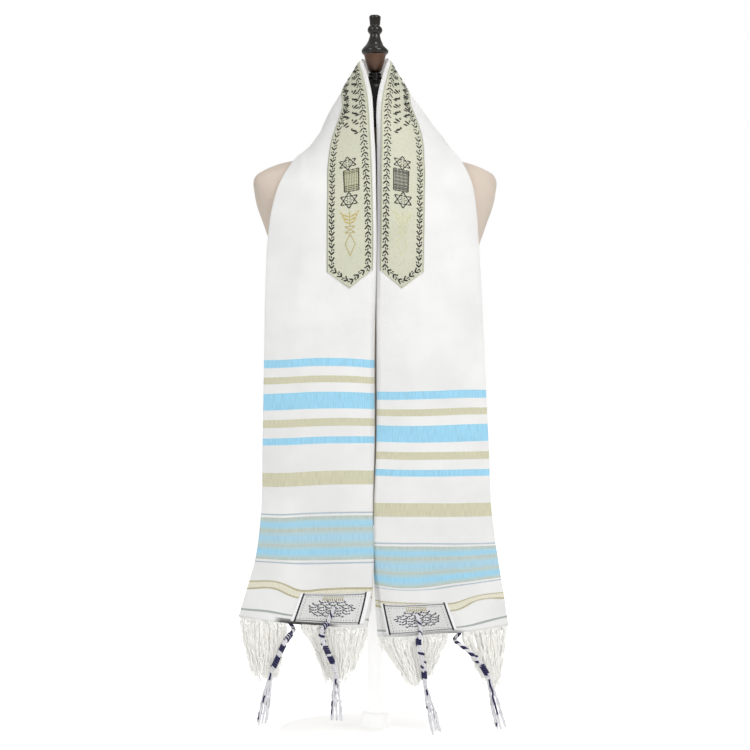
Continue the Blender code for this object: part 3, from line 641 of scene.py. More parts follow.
# The cloth never lies quite square, so its stripes drift down (in millimetres) from their even
# places: each row's distance from the hem, then the drift at six places, neck edge to outer fold.
PATTERN_DRIFT = {
    "left": [
        (0.0000, 0.0, -2.0, -1.0, -1.0, -2.0, 0.0),
        (0.0117, 0.0, -2.6, -0.8, -0.8, -2.6, 0.0),
        (0.0490, 0.0, -0.6, 2.2, 5.2, -6.6, 0.0),
        (0.0892, 0.0, -1.6, -1.4, -0.2, 1.6, 4.5),
        (0.1500, 0.2, -1.8, -2.0, -0.5, 3.5, 6.5),
        (0.2160, 0.6, -1.8, -2.3, -0.5, 2.5, 5.2),
        (0.2700, 1.0, -0.8, -1.6, -0.4, 1.8, 4.0),
        (0.3000, 2.0, -0.3, -1.2, -0.4, 1.8, 4.0),
        (0.3300, 4.0, 1.2, -0.2, 0.0, 2.2, 4.8),
        (0.3900, 4.8, 0.9, -1.2, -1.0, 1.4, 3.2),
    ],
    "right": [
        (0.0000, 0.0, -2.0, -1.0, 0.0, -2.0, -4.0),
        (0.0117, 0.0, -2.6, -0.8, 0.2, -2.6, -6.0),
        (0.0490, -6.0, -4.6, -0.8, 2.2, -11.6, -5.0),
        (0.0960, -1.0, 1.4, -1.3, -7.3, -9.6, -9.0),
        (0.1300, 4.5, 2.4, 0.2, -1.8, -2.5, -2.0),
        (0.1640, 4.0, 1.5, 0.0, 0.0, 1.5, 4.0),
        (0.2160, 3.8, 2.3, 1.3, 1.8, 2.7, 4.2),
        (0.2700, 3.8, 3.2, 2.6, 2.4, 2.6, 4.3),
        (0.3000, 5.3, 4.3, 3.3, 2.8, 3.4, 4.5),
        (0.3300, 5.3, 4.7, 4.1, 3.2, 2.4, 3.0),
        (0.3900, 3.8, 2.3, 0.7, -0.6, -1.3, 0.0),
    ],
}


def from_hem(along, share):
    """How far a place lies from the hem in the woven pattern."""
    along, share = np.broadcast_arrays(along, share)
    found = np.zeros(along.shape)
    for side, sign in SIDES.items():
        chosen = (along >= 0) == (sign > 0)
        even = np.interp(sign * along[chosen], *PATTERN_PLACES[side])
        table = np.array(PATTERN_DRIFT[side])
        down = smooth_rows(table[:, 1:].T, np.linspace(0, 1, 6), share[chosen])
        step = np.arange(len(even))
        row = np.clip(np.searchsorted(table[:, 0], even) - 1, 0, len(table) - 2)
        part = np.clip((even - table[row, 0]) / (table[row + 1, 0] - table[row, 0]), 0, 1)
        drift = down[step, row] * (1 - part) + down[step, row + 1] * part
        found[chosen] = even + drift / 1000
    return found


# Where the cloth lies in its own shade: the neck edges, turned softly under, most on the right from
# the chest to the waist, and a roll of the hem in front. Places along or across, and how deep.
NECK_SHADE = {
    "left": ((0.40, 0.48, 0.60, 0.70), (0.0, 0.30, 0.30, 0.0)),
    "right": (
        (0.10, 0.15, 0.20, 0.25, 0.33, 0.40, 0.47, 0.55, 0.68),
        (0.1, 0.40, 0.85, 1.0, 0.9, 0.5, 0.1, 0.25, 0.0),
    ),
}
HEM_SHADE = {
    "left": ((0.22, 0.30, 0.38, 0.62, 0.70, 0.74), (0.0, 0.85, 1.0, 1.0, 0.9, 0.0)),
    "right": ((0.05, 0.20, 0.40, 0.60, 0.66), (0.1, 0.3, 0.45, 0.6, 0.0)),
}
COLLAR_LIGHT_ACROSS = 0.12  # a share of the width, from the neck edge
COLLAR_LIGHT_ALONG = 0.04  # it fades from 0.6 to 1.6 times as far to either side of the nape


def shade_depths(along, shares, heights):
    """How deep the neck edge's and the hem's shade is at one place along, for each share across, and
    how much light soaks through the thin wool there: at the nape, inside the collar."""
    side = "left" if along < 0 else "right"
    neck = np.full(len(shares), np.interp(abs(along), *NECK_SHADE[side]))
    inside = np.where(heights < -LAYER_PITCH / 2, 1.0, np.clip(1 - shares / COLLAR_LIGHT_ACROSS, 0, 1))
    soaked = np.clip(1.6 - abs(along) / COLLAR_LIGHT_ALONG, 0, 1) * inside
    return np.stack([neck, np.interp(shares, *HEM_SHADE[side]), soaked], axis=1)


def make_shawl():
    """The folded cloth, with its flat places as its weave map and its shade as an attribute."""
    half = np.unique(np.concatenate([np.linspace(*stretch) for stretch in ROW_STRETCHES]))
    places = np.concatenate([-half[:0:-1], half])
    columns = np.linspace(0.0, 1.0, COLUMNS_TO_A_LAYER)
    rows, flat, depths = [], [], []
    for along in places:
        shares, heights, across = folded_across(along, columns)
        rows.append(on_cloth(np.full(len(shares), along), shares, heights))
        flat.append(np.stack([across, from_hem(np.full(len(shares), along), shares)], axis=1))
        depths.append(shade_depths(along, shares, heights))
    mesh = grid_mesh("shawl_finished", np.array(rows), np.array(flat))
    layer = mesh.attributes.new("shade", "FLOAT_VECTOR", "POINT")
    layer.data.foreach_set("vector", np.array(depths, np.float32).ravel())
    return mesh


# The stripes: each yarn's dye, and where its stripes begin and end, in metres from the hem.
STRIPES = {
    "blue": (
        dye(166, 225, 252),
        ((0.385, 0.397), (0.322, 0.347), (0.2685, 0.279), (0.142, 0.155), (0.098, 0.115)),
    ),
    "pale_blue": (dye(180, 223, 242), ((0.118, 0.137),)),
    "slate_blue": (dye(188, 203, 212), ((0.1632, 0.1655), (0.0882, 0.0905))),
    "gilt": (dye(220, 217, 187), ((0.361, 0.371), (0.295, 0.307), (0.206, 0.227))),
    "sea_gilt": (
        dye(198, 212, 205),
        ((0.155, 0.160), (0.137, 0.142), (0.115, 0.118), (0.094, 0.098)),
    ),
    "pale_gilt": (dye(240, 236, 216), ((0.0442, 0.0536),)),
    "old_gold": (dye(196, 188, 152), ((0.0536, 0.0562), (0.0416, 0.0442))),
    "grey_green": (dye(178, 184, 178), ((0.0102, 0.0131),)),
}
RUN_INTO_BLUE = 0.0095  # how far a gilt yarn's colour shows through the blue beside it
EDGE_WANDER = 0.0012  # of the stripes' edges
RIB_SCALE = (700, 60)  # across and down
FLECK_SCALE = (1100, 420)
THREADS_TO_A_METRE = 2400
NECK_EDGE_SHADE = 0.0068  # how far the painted shade reaches from the neck edge, in metres, as are the next two
# the place and reach of a darker painted line of shade along the crease where the neck edge turns under
NECK_ROLL_SHADE = 0.0036
NECK_ROLL_SHADE_REACH = 0.0012
HEM_ROLL_SHADE = 0.0062  # how far the painted shadow of the hem's roll reaches up from the hem, on the front layer only
FRONT_LAYER = 0.16


def deeper(colour, share):
    """A colour dyed deeper, to a share of its light."""
    return tuple(value * share for value in colour)


def woven_wool():
    """White wool with its stripes woven in, with painted shade where it lies in its own shade and a painted
    glow for the light that comes through it inside the collar.
    """
    finish = Finish(
        "white_wool_with_stripes", dye(243, 241, 238), 0.78, Sheen_Weight=0.12, Emission_Strength=1
    )
    across, down = finish.weave_place()
    down = down + (finish.noise(14, 2) - 0.5) * EDGE_WANDER
    rib = finish.flat_noise(across * RIB_SCALE[0], down * RIB_SCALE[1], 1)
    fleck = finish.flat_noise(across * FLECK_SCALE[0], down * FLECK_SCALE[1], 2)
    clouds = finish.noise(11, 3)
    colour = finish.blend((clouds - 0.38) * 3.5, dye(236, 236, 235), dye(248, 248, 246))
    colour = finish.blend(fleck * 0.5, colour, dye(250, 249, 247))
    beside_gilt = 0
    sea_gilt, gilt_places = STRIPES["sea_gilt"]
    for low, high in gilt_places:
        beside_gilt = abs(down - (low + high) / 2).fade(RUN_INTO_BLUE) + beside_gilt
    for yarn, (shade, places) in STRIPES.items():
        cover = 0
        for low, high in places:
            cover = down.within((low + high) / 2, (high - low) / 2) + cover
        ribbed = finish.blend((rib - 0.35) * 1.6, shade, deeper(shade, 0.80))
        if yarn in ("blue", "pale_blue"):
            ribbed = finish.blend(beside_gilt * 0.9, ribbed, sea_gilt)
        colour = finish.blend(cover, colour, ribbed)
    depths = finish.node("ShaderNodeAttribute", {"attribute_name": "shade"}, output=1)
    neck, hem, soaked = finish.parts(depths)
    edge = across.fade(NECK_EDGE_SHADE).math("POWER", 0.45)
    roll = abs(across - NECK_ROLL_SHADE).fade(NECK_ROLL_SHADE_REACH)
    # painted shade: grey over the turned-under neck edges, darkest along their crease
    colour = finish.blend(neck * (edge * 0.55 + roll * 0.30), colour, dye(96, 94, 98))
    # painted shadow: near black just above the hem, where it rolls under at the front
    below = down.fade(HEM_ROLL_SHADE).math("POWER", 0.22) * across.math("LESS_THAN", FRONT_LAYER)
    colour = finish.blend(hem * below, colour, dye(44, 42, 42))
    finish.feed("Emission Color", finish.blend(soaked, dye(0, 0, 0), dye(132, 130, 128)))
    finish.feed("Base Color", colour)
    turns = THREADS_TO_A_METRE * tau
    threads = (across * turns).math("SINE") * (down * turns).math("SINE")
    finish.raise_grain(threads * 0.3 + fleck, 0.0003)
    return finish.material


def give_wall(thing, thickness):
    """Gives a sheet its thickness, half to either side."""
    wall = thing.modifiers.new("wall", "SOLIDIFY")
    wall.thickness = thickness
    wall.offset = 0.0
    return thing


shawl = give_wall(shown("shawl_finished", make_shawl(), woven_wool()), CLOTH_WALL)
settle(shawl, "shawl_cloth")

# ---- Neckband ------------------------------------------------------------------------------------
# A strip of cream brocade with a gilt thread, pointed at both ends, sewn on round the neck edge. A
# dark border runs inside its edges. Stars, blocks and gilt sprigs are embroidered in satin stitch.

BAND_NECK_EDGE = 0.03  # as a share of the folded width
BAND_OUTER_EDGE = (  # along the cloth, and the same share there: the cloth is gathered up at the neck
    (0.00, 0.05, 0.10, 0.14, 0.17, 0.205, 0.28, 0.45),
    (0.36, 0.29, 0.255, 0.325, 0.39, 0.420, 0.428, 0.435),
)
BAND_MIDDLE = 0.235  # as a share of the folded width too
BAND_CORNER = 0.396  # along the cloth, where the band starts to narrow
BAND_TIP = 0.4225
BAND_WALL = 0.0008
BAND_HEIGHT = LAYER_PITCH + CLOTH_WALL / 2 + BAND_WALL / 2 + 0.0002
BAND_WIDTH = 0.066
BAND_COLUMNS = 27
BAND_ROWS = 110  # to each half, above its point
POINT_ROWS = (0.2, 0.4, 0.6, 0.8, 1.0)  # shares of the way from the corners to the tip
BLUNT_CORNER = 0.02  # the point starts with a straight edge of this share of its length
RIB_PITCH = 0.0016
EDGE_LINE_INSET = 0.0012
EDGE_LINE_HALF = 0.0005


def band_outer(along):
    """The band's outer edge at a place along the cloth, as a share of the folded width."""
    places, shares = BAND_OUTER_EDGE
    return smooth_rows(np.array(shares)[:, None], places, along)[..., 0]


def make_band():
    """The band on the cloth, with its flat places, measured from its middle line, as its weave map."""
    columns = np.linspace(0, 1, BAND_COLUMNS)
    inner = np.linspace(0, BAND_CORNER, BAND_ROWS)
    point = 1 - np.abs(columns - 0.5) * 2
    tip = BAND_CORNER + (BAND_TIP - BAND_CORNER) * np.maximum(point, BLUNT_CORNER)
    end = [BAND_CORNER + (tip - BAND_CORNER) * step for step in POINT_ROWS]
    half = np.vstack([np.repeat(inner[:, None], len(columns), axis=1), end])
    along = np.vstack([-half[:0:-1], half])
    share = BAND_NECK_EDGE + columns * (band_outer(np.abs(along)) - BAND_NECK_EDGE)
    points = on_cloth(along, share, np.full(along.shape, BAND_HEIGHT))
    across = np.broadcast_to((columns - 0.5) * BAND_WIDTH, along.shape)
    return grid_mesh("neckband_finished", points, np.stack([across, along], axis=-1))


def brocade():
    """Cream and olive brocade: fine slanted ribs, a gilt glint, and a grey line along its edges."""
    finish = Finish("cream_brocade", dye(220, 220, 198), 0.55)
    across, along = finish.weave_place()
    ribs = ((across + along) * (tau / RIB_PITCH)).math("SINE")
    glint = finish.noise(420, 2)
    thread = finish.blend(finish.noise(26, 2), dye(203, 206, 184), dye(216, 214, 195))
    thread = finish.blend((glint - 0.5) * 1.6, thread, dye(176, 176, 142))
    thread = finish.blend((ribs + 1) * 0.10, thread, dye(150, 150, 124))
    edge = abs(across).within(BAND_WIDTH / 2 - EDGE_LINE_INSET, EDGE_LINE_HALF)
    finish.feed("Base Color", finish.blend(edge * 0.55, thread, dye(120, 122, 104)))
    finish.feed("Metallic", glint * 0.12)
    finish.raise_grain(ribs * 0.25 + glint, 0.0003)
    return finish.material


band = give_wall(shown("neckband_finished", make_band(), brocade()), BAND_WALL)
settle(band, "neckband")


def on_band(sign):
    """The way from one half of the band, down and outwards from its middle line, to space."""

    def place(down, across):
        along = sign * np.asarray(down, float)
        share = BAND_MIDDLE + np.asarray(across, float) / folded_width(along)
        return on_cloth(along, share, np.full(along.shape, BAND_HEIGHT + BAND_WALL / 2 + 0.0001))

    return place


Stitch = namedtuple("Stitch", "down across turn length width")  # turn in degrees from straight down
STITCH_HEIGHT = 0.0006
LONGEST_STITCH = 0.0055
STITCH_OVERLAP = 1.3
STITCH_FINENESS = 1  # the smallest ball that still catches the light as a dome


def turned_about(stitches, down, across, turn=0, flip=1):
    """A motif's stitches, moved to a place, turned, and mirrored where flip is -1."""
    c, s = cos(radians(turn)), sin(radians(turn))
    return [
        Stitch(
            down + st.down * c - flip * st.across * s,
            across + st.down * s + flip * st.across * c,
            turn + flip * st.turn,
            st.length,
            st.width,
        )
        for st in stitches
    ]


def line_stitches(start, end, width):
    """A line sewn as overlapping stitches, between two (down, across) places."""
    run = np.subtract(end, start)
    length = np.hypot(*run)
    count = max(1, round(length / LONGEST_STITCH))
    turn = np.degrees(np.arctan2(run[1], run[0]))
    middles = [np.add(start, run * (i + 0.5) / count) for i in range(count)]
    return [Stitch(*middle, turn, length / count * STITCH_OVERLAP, width) for middle in middles]


def round_stitches(corners, width):
    """Lines from each corner to the next one, and from the last back to the first."""
    lines = zip(corners, [*corners[1:], corners[0]])
    return [stitch for start, end in lines for stitch in line_stitches(start, end, width)]


class Recipe:
    """A node tree from a guide mesh, a number and a thread to a shape, built one node at a time."""

    def __init__(self, name, number):
        self.tree = bpy.data.node_groups.new(name, "GeometryNodeTree")
        for socket, kind in (("Guide", "Geometry"), (number, "Int"), ("Thread", "Material")):
            self.tree.interface.new_socket(name=socket, in_out="INPUT", socket_type=f"NodeSocket{kind}")
        self.tree.interface.new_socket(name="Geometry", in_out="OUTPUT", socket_type="NodeSocketGeometry")
        self.given = self.tree.nodes.new("NodeGroupInput").outputs

    def node(self, kind, output, **inputs):
        """Adds a node with the values or links of its inputs, and gives the output of that name."""
        node = self.tree.nodes.new(kind)
        for name, value in inputs.items():
            socket = node.inputs[name.replace("_", " ")]
            if isinstance(value, bpy.types.NodeSocket):
                self.tree.links.new(value, socket)
            else:
                socket.default_value = value
        return node.outputs[output]

    def attribute(self, name, kind):
        """The guide's own attribute of that name."""
        node = self.tree.nodes.new("GeometryNodeInputNamedAttribute")
        node.data_type = kind
        node.inputs["Name"].default_value = name
        return node.outputs["Attribute"]

    def finish(self, shape):
        """Makes the shape real, gives it the thread, and ends the tree."""
        real = self.node("GeometryNodeRealizeInstances", "Geometry", Geometry=shape)
        thread = self.given["Thread"]
        painted = self.node("GeometryNodeSetMaterial", "Geometry", Geometry=real, Material=thread)
        self.tree.links.new(painted, self.tree.nodes.new("NodeGroupOutput").inputs["Geometry"])
        return self.tree


def stitch_tree():
    """Node tree: a domed stitch on each guide point, turned and sized by the point's attributes."""
    recipe = Recipe("satin_stitches", "Fineness")
    given, node = recipe.given, recipe.node
    ball = node("GeometryNodeMeshIcoSphere", "Mesh", Radius=0.5, Subdivisions=given["Fineness"])
    turn, size = (recipe.attribute(name, "FLOAT_VECTOR") for name in ("turn", "size"))
    stitches = node(
        "GeometryNodeInstanceOnPoints",
        "Instances",
        Points=node("GeometryNodeMeshToPoints", "Points", Mesh=given["Guide"]),
        Instance=ball,
        Rotation=node("FunctionNodeEulerToRotation", "Rotation", Euler=turn),
        Scale=size,
    )
    return recipe.finish(stitches)


def worked(name, guide, tree, material, **inputs):
    """A guide mesh run through a node tree and kept as a plain smooth mesh."""
    thing = bpy.data.objects.new(f"{name}_guide", guide)
    bpy.context.collection.objects.link(thing)
    modifier = thing.modifiers.new("work", "NODES")
    modifier.node_group = tree
    for socket in tree.interface.items_tree:
        if socket.in_out == "INPUT" and socket.name in inputs:
            modifier[socket.identifier] = inputs[socket.name]
        elif socket.in_out == "INPUT" and socket.socket_type == "NodeSocketMaterial":
            modifier[socket.identifier] = material
    graph = bpy.context.evaluated_depsgraph_get()
    mesh = bpy.data.meshes.new_from_object(thing.evaluated_get(graph), depsgraph=graph)
    bpy.data.objects.remove(thing)
    return shown(name, mesh, material, crease=70)


SATIN = stitch_tree()


def embroider(name, groups, material):
    """Sews groups of stitches; each group is (way to space, stitches)."""
    places, turns, sizes = [], [], []
    step = 1e-3
    for place, stitches in groups:
        rows = np.array(stitches, float)
        down, across, turn = rows[:, 0], rows[:, 1], np.radians(rows[:, 2])
        middle = place(down, across)
        runs = place(down + step * np.cos(turn), across + step * np.sin(turn)) - middle
        sides = place(down - step * np.sin(turn), across + step * np.cos(turn)) - middle
        for point, run, side, row in zip(middle, runs, sides, rows):
            run = Vector(run).normalized()
            up = run.cross(Vector(side)).normalized()
            frame_axes = Matrix((run, up.cross(run), up)).transposed()
            places.append(point)
            turns.append(tuple(frame_axes.to_euler()))
            sizes.append((row[3], row[4], STITCH_HEIGHT))
    guide = bpy.data.meshes.new(f"{name}_guide")
    guide.from_pydata(places, [], [])
    for attribute, values in (("turn", turns), ("size", sizes)):
        layer = guide.attributes.new(attribute, "FLOAT_VECTOR", "POINT")
        layer.data.foreach_set("vector", np.array(values, np.float32).ravel())
    return worked(name, guide, SATIN, material, Fineness=STITCH_FINENESS)


# The border: two slanted leaves with three dots, over and over, down one edge, round the point and
# up the other edge.
BORDER_INSET = 0.0072
BORDER_PITCH = 0.0102
BORDER_TURNING = 0.0095  # from the band's tip to where the border turns
COURSE_POINTS = 60
BEFORE_AND_AFTER = 0.004  # how far to either side of a leaf its course is read, to turn it
BORDER_LEAF = [
    Stitch(-0.0012, 0.0016, 44, 0.0082, 0.0031),
    Stitch(-0.0006, -0.0019, -30, 0.0066, 0.0028),
    Stitch(0.0036, 0.0004, 14, 0.0058, 0.0020),
    Stitch(0.0040, 0.0032, 10, 0.0034, 0.0023),
    Stitch(0.0022, -0.0036, 60, 0.0036, 0.0019),
]


def border_stitches(sign):
    """The leaves of one half's border, set at an even pitch along its course."""
    downs = np.linspace(0, BAND_CORNER - 0.003, COURSE_POINTS)
    width = folded_width(sign * downs)
    near = np.stack([downs, (BAND_NECK_EDGE - BAND_MIDDLE) * width + BORDER_INSET], axis=1)
    far = np.stack([downs, (band_outer(downs) - BAND_MIDDLE) * width - BORDER_INSET], axis=1)
    tip = (BAND_TIP - BORDER_TURNING, (near[-1, 1] + far[-1, 1]) / 2)
    course = np.vstack([near, [tip], far[::-1]])
    reach = reaches(course)
    count = round(reach[-1] / BORDER_PITCH)
    found = []
    for i in range(count):
        at = (i + 0.5) / count * reach[-1] + np.array([-BEFORE_AND_AFTER, 0, BEFORE_AND_AFTER])
        downs, acrosses = np.interp(at, reach, course[:, 0]), np.interp(at, reach, course[:, 1])
        down, across = downs[1], acrosses[1]
        turn = np.degrees(np.arctan2(acrosses[2] - acrosses[0], downs[2] - downs[0]))
        found += turned_about(BORDER_LEAF, down, across, turn, 1 if i % 2 else -1)
    return found


# Each star: down, across and radius.
STARS = {
    -1: ((0.2175, -0.0007, 0.0122), (0.2828, -0.0008, 0.0136)),
    1: ((0.2185, -0.0036, 0.0124), (0.2825, -0.0015, 0.0136)),
}
BLOCK_ENDS = (0.2305, 0.2682)
BLOCK_MIDDLE = -0.0046  # towards the neck edge from the band's own middle line
BLOCK_HALF_WIDTH = 0.0100
TIES_FROM_HEAD = (0.0032, 0.0062)
TIES_FROM_FOOT = (0.0032, 0.0062, 0.0092)
STAR_LINE = 0.0022
PETAL_OUT = 0.0034  # from the star's heart to the middle of a petal
PETAL = (0.0044, 0.0015)  # length and width
BLOCK_LINE = 0.0020
TIE_LINE = 0.0013


def star_stitches(down, across, radius):
    """A six-pointed star of two outlined triangles, with a small flower at its heart."""
    found = []
    for first in (0, 60):
        tips = [
            (radius * cos(radians(first + i * 120)), radius * sin(radians(first + i * 120)))
            for i in range(3)
        ]
        found += round_stitches(tips, STAR_LINE)
    for i in range(6):
        turn = i * 60 + 30
        found.append(Stitch(PETAL_OUT * cos(radians(turn)), PETAL_OUT * sin(radians(turn)), turn, *PETAL))
    return turned_about(found, down, across)


def block_frame():
    """Stout lines round the block, with short ties across its head and foot."""
    low, high = BLOCK_ENDS
    near, far = BLOCK_MIDDLE - BLOCK_HALF_WIDTH, BLOCK_MIDDLE + BLOCK_HALF_WIDTH
    found = round_stitches([(low, near), (high, near), (high, far), (low, far)], BLOCK_LINE)
    for down in [low + tie for tie in TIES_FROM_HEAD] + [high - tie for tie in TIES_FROM_FOOT]:
        found += line_stitches((down, near), (down, far), TIE_LINE)
    return found


def block_fill(reach, pitch, width):
    """Close parallel lines inside the block, as far as a share of its half width from its middle."""
    low, high = BLOCK_ENDS[0] + 0.001, BLOCK_ENDS[1] - 0.001
    found = []
    for across in np.arange(-BLOCK_HALF_WIDTH * reach, BLOCK_HALF_WIDTH * reach, pitch):
        found += line_stitches((low, BLOCK_MIDDLE + across), (high, BLOCK_MIDDLE + across), width)
    return found


# Two plain rows of leaves and dots to each half, from the nape to above the stars: where each
# starts and ends, down and across.
LEAF_ROWS = (((0.020, -0.0262), (0.166, -0.0112)), ((0.020, -0.0108), (0.152, -0.0002)))
LEAF_PITCH = 0.0128


def row_stitches(start, end):
    """Leaves slanted one way and then the other, with dots between them."""
    found = []
    count = round((end[0] - start[0]) / LEAF_PITCH)
    for i, (down, across) in enumerate(np.linspace(start, end, count)):
        slant = 56 if i % 2 else -52
        found += [
            Stitch(down, across + 0.0004, slant, 0.0108, 0.0042),
            Stitch(down + 0.0042, across - 0.0016, 84, 0.0084, 0.0034),
            Stitch(down - 0.0034, across + 0.0036, 12, 0.0052, 0.0032),
        ]
    return found


SPRIG_STEM = (0.3020, 0.3260)
SPRIG_CROSS = (0.3270, 0.3380)
SPRIG_LOZENGE = (0.3400, 0.3560, 0.3740)  # its head, middle and foot
SPRIG_HALF_WIDTH = 0.0072


def sprig_stitches(width):
    """A stem with paired leaves, a crossed knot and an open lozenge."""
    found = line_stitches((SPRIG_STEM[0], 0), (SPRIG_STEM[1], 0), width * 0.8)
    for step in range(3):
        down = 0.3080 + 0.0062 * step
        reach = 0.0118 - 0.0022 * step
        for side in (-1, 1):
            found.append(Stitch(down, side * reach * 0.52, side * 118, reach * 1.20, width))
            found.append(Stitch(down - 0.0050, side * reach * 1.02, side * 165, 0.0056, width * 0.9))
    (top, foot), half = SPRIG_CROSS, SPRIG_HALF_WIDTH
    head, middle, tail = SPRIG_LOZENGE
    corners = [(top, -half), (foot, half), (foot, -half), (top, half)]
    for first, last in ((0, 1), (2, 3), (0, 3), (1, 2)):
        found += line_stitches(corners[first], corners[last], width * 0.55)
    found += round_stitches([(head, 0), (middle, half), (tail, 0), (middle, -half)], width * 0.55)
    return turned_about(found, 0, -0.0014)


dark_thread = Finish("dark_green_thread", dye(30, 33, 26), 0.6).material
grey_thread = Finish("grey_thread", dye(92, 92, 86), 0.6).material
olive_thread = Finish("olive_gilt_thread", dye(140, 140, 96), 0.5, Metallic=0.15).material
gold_thread = Finish("gold_thread", dye(186, 168, 104), 0.5, Metallic=0.2).material
pale_gold_thread = Finish("pale_gold_thread", dye(216, 212, 166), 0.5, Metallic=0.2).material


def dark_stitches(sign):
    """All the dark stitching of one half: the border, the block's frame, the leaves and the stars."""
    found = border_stitches(sign) + block_frame()
    for start, end in LEAF_ROWS:
        found += row_stitches(start, end)
    for star in STARS[sign]:
        found += star_stitches(*star)
    return found


for name, groups, thread in (
    ("band_dark_stitching", [(on_band(sign), dark_stitches(sign)) for sign in (-1, 1)], dark_thread),
    ("band_block_left", [(on_band(-1), block_fill(0.9, 0.0022, 0.0016))], olive_thread),
    ("band_block_right", [(on_band(1), block_fill(0.95, 0.0018, 0.0020))], grey_thread),
    ("band_gold_stitching", [(on_band(-1), sprig_stitches(0.0029))], gold_thread),
    ("band_pale_stitching", [(on_band(1), sprig_stitches(0.0018))], pale_gold_thread),
):
    settle(embroider(name, groups, thread))

# ---- Corner patches ------------------------------------------------------------------------------
# A square of pale grey jacquard at each corner of the cloth, its edges turned in and sewn down. Two
# lie on the front layer, two behind the hidden one. Each is stitched in navy and a row of gilt.

# Each patch's corners, along the cloth and across the fold: neck side and outer side of its top,
# then of its foot; the distance between its stripes; and the plain margins beyond them.
Patch = namedtuple("Patch", "top_neck top_outer foot_neck foot_outer between margins")
PATCHES = {
    ("left", "front"): Patch(
        (0.8755, 0.010), (0.8810, 0.603), (0.9240, 0.034), (0.9255, 0.640), 0.0960, (0.0072, 0.0043)
    ),
    ("right", "front"): Patch(
        (0.8840, 0.012), (0.8825, 0.563), (0.9265, 0.028), (0.9250, 0.618), 0.0948, (0.0040, 0.0043)
    ),
}
PATCHES["left", "rear"] = PATCHES["right", "rear"] = Patch(
    (0.8815, 0.34), (0.8815, 0.85), (0.9260, 0.34), (0.9260, 0.85), 0.0830, (0.0062, 0.0062)
)
PATCH_LENGTH = 0.0445
PATCH_WALL = 0.0007
PATCH_LIFT = LAYER_PITCH + CLOTH_WALL / 2 + PATCH_WALL / 2 + 0.0003
SIDE_STRIPE = 0.0026
END_LINE_INSET = 0.0024
END_LINE_HALF = 0.0007
PATCH_GRID = (22, 46)  # points down and across
FIGURES_TO_A_METRE = 420


def on_patch(side, face, lift=PATCH_WALL / 2):
    """The way from a patch's own flat coordinates, down and across from its top middle, to space."""
    patch = PATCHES[side, face]
    corners = np.array(patch[:4])
    half = patch.between / 2
    inner, outer = -half - patch.margins[0], half + patch.margins[1]
    sign = SIDES[side]
    tuck = 0.0 if face == "front" else tuck_at(sign * corners[0, 0])
    height = (PATCH_LIFT + lift) * (1 if face == "front" else -1)

    def place(down, across):
        down, across = np.broadcast_arrays(np.asarray(down, float), np.asarray(across, float))
        part, share = (down / PATCH_LENGTH)[..., None], ((across - inner) / (outer - inner))[..., None]
        top = corners[0] * (1 - share) + corners[1] * share
        foot = corners[2] * (1 - share) + corners[3] * share
        found = top * (1 - part) + foot * part
        return on_cloth(sign * found[..., 0], tuck + found[..., 1] * (FREE_EDGE - tuck), height)

    return place, inner, outer


def make_patch(side, face):
    """One patch on the cloth, with its flat places as its weave map."""
    place, inner, outer = on_patch(side, face, 0.0)
    down = np.linspace(0, PATCH_LENGTH, PATCH_GRID[0])
    across = np.linspace(inner, outer, PATCH_GRID[1])
    down, across = np.meshgrid(down, across, indexing="ij")
    return grid_mesh("patch", place(down, across), np.stack([across, down], axis=-1))


def jacquard(face, between):
    """Grey figured cloth with white turned-in sides, navy side stripes and thin dark end lines."""
    finish = Finish(f"grey_jacquard_{face}", dye(214, 214, 212), 0.62)
    across, down = finish.weave_place()
    count = FIGURES_TO_A_METRE
    cell = finish.node("ShaderNodeCombineXYZ", {}, {"X": across * count, "Y": down * count})
    cracks = {"voronoi_dimensions": "2D", "feature": "DISTANCE_TO_EDGE"}
    figure = finish.node("ShaderNodeTexVoronoi", cracks, {"Vector": cell, "Scale": 1})
    ground = finish.blend(figure.math("LESS_THAN", 0.12) * 0.6, dye(228, 228, 226), dye(176, 176, 176))
    from_middle = abs(across)
    stripe = from_middle.within(between / 2 - SIDE_STRIPE / 2, SIDE_STRIPE / 2)
    plain = from_middle.math("GREATER_THAN", between / 2)
    ends = abs(down - PATCH_LENGTH / 2).within(PATCH_LENGTH / 2 - END_LINE_INSET, END_LINE_HALF)
    colour = finish.blend(ends * 0.85, ground, dye(74, 74, 80))
    colour = finish.blend(plain, colour, dye(240, 240, 240))
    colour = finish.blend(stripe, colour, dye(22, 22, 34))
    finish.feed("Base Color", colour)
    finish.raise_grain(figure + stripe * 0.3, 0.0003)
    return finish.material


PATCH_ROWS = (  # down, and how far to either side of the middle
    (0.0132, 0.0180),
    (0.0172, 0.0290),
    (0.0212, 0.0330),
    (0.0252, 0.0310),
    (0.0292, 0.0280),
    (0.0332, 0.0200),
)
DRAWN_BETWEEN = 0.0916  # the distance between the stripes for which those reaches are given
MARK_PITCH = 0.0041
MARK_TURNS = (62, 90, 118, 84, 104)
MARK_LENGTHS = (0.0052, 0.0040, 0.0058)
SPECK_PITCH = 0.0042
SPECK = (0.0019, 0.0011)  # length and width


def patch_marks(between):
    """Rows of slanted and level navy stitches, shorter towards the top and the foot."""
    found = []
    for i, (down, reach) in enumerate(PATCH_ROWS):
        reach = reach * between / DRAWN_BETWEEN
        for j, across in enumerate(np.arange(-reach, reach, MARK_PITCH)):
            turn = MARK_TURNS[(2 * i + 3 * j) % 5]
            length = MARK_LENGTHS[(i + j) % 3]
            found.append(Stitch(down + 0.0006 * ((i + j) % 3 - 1), across, turn, length, 0.0020))
            if (i + j) % 3 == 0:
                found.append(Stitch(down - 0.0022, across + 0.0014, 90, 0.0028, 0.0016))
    return found


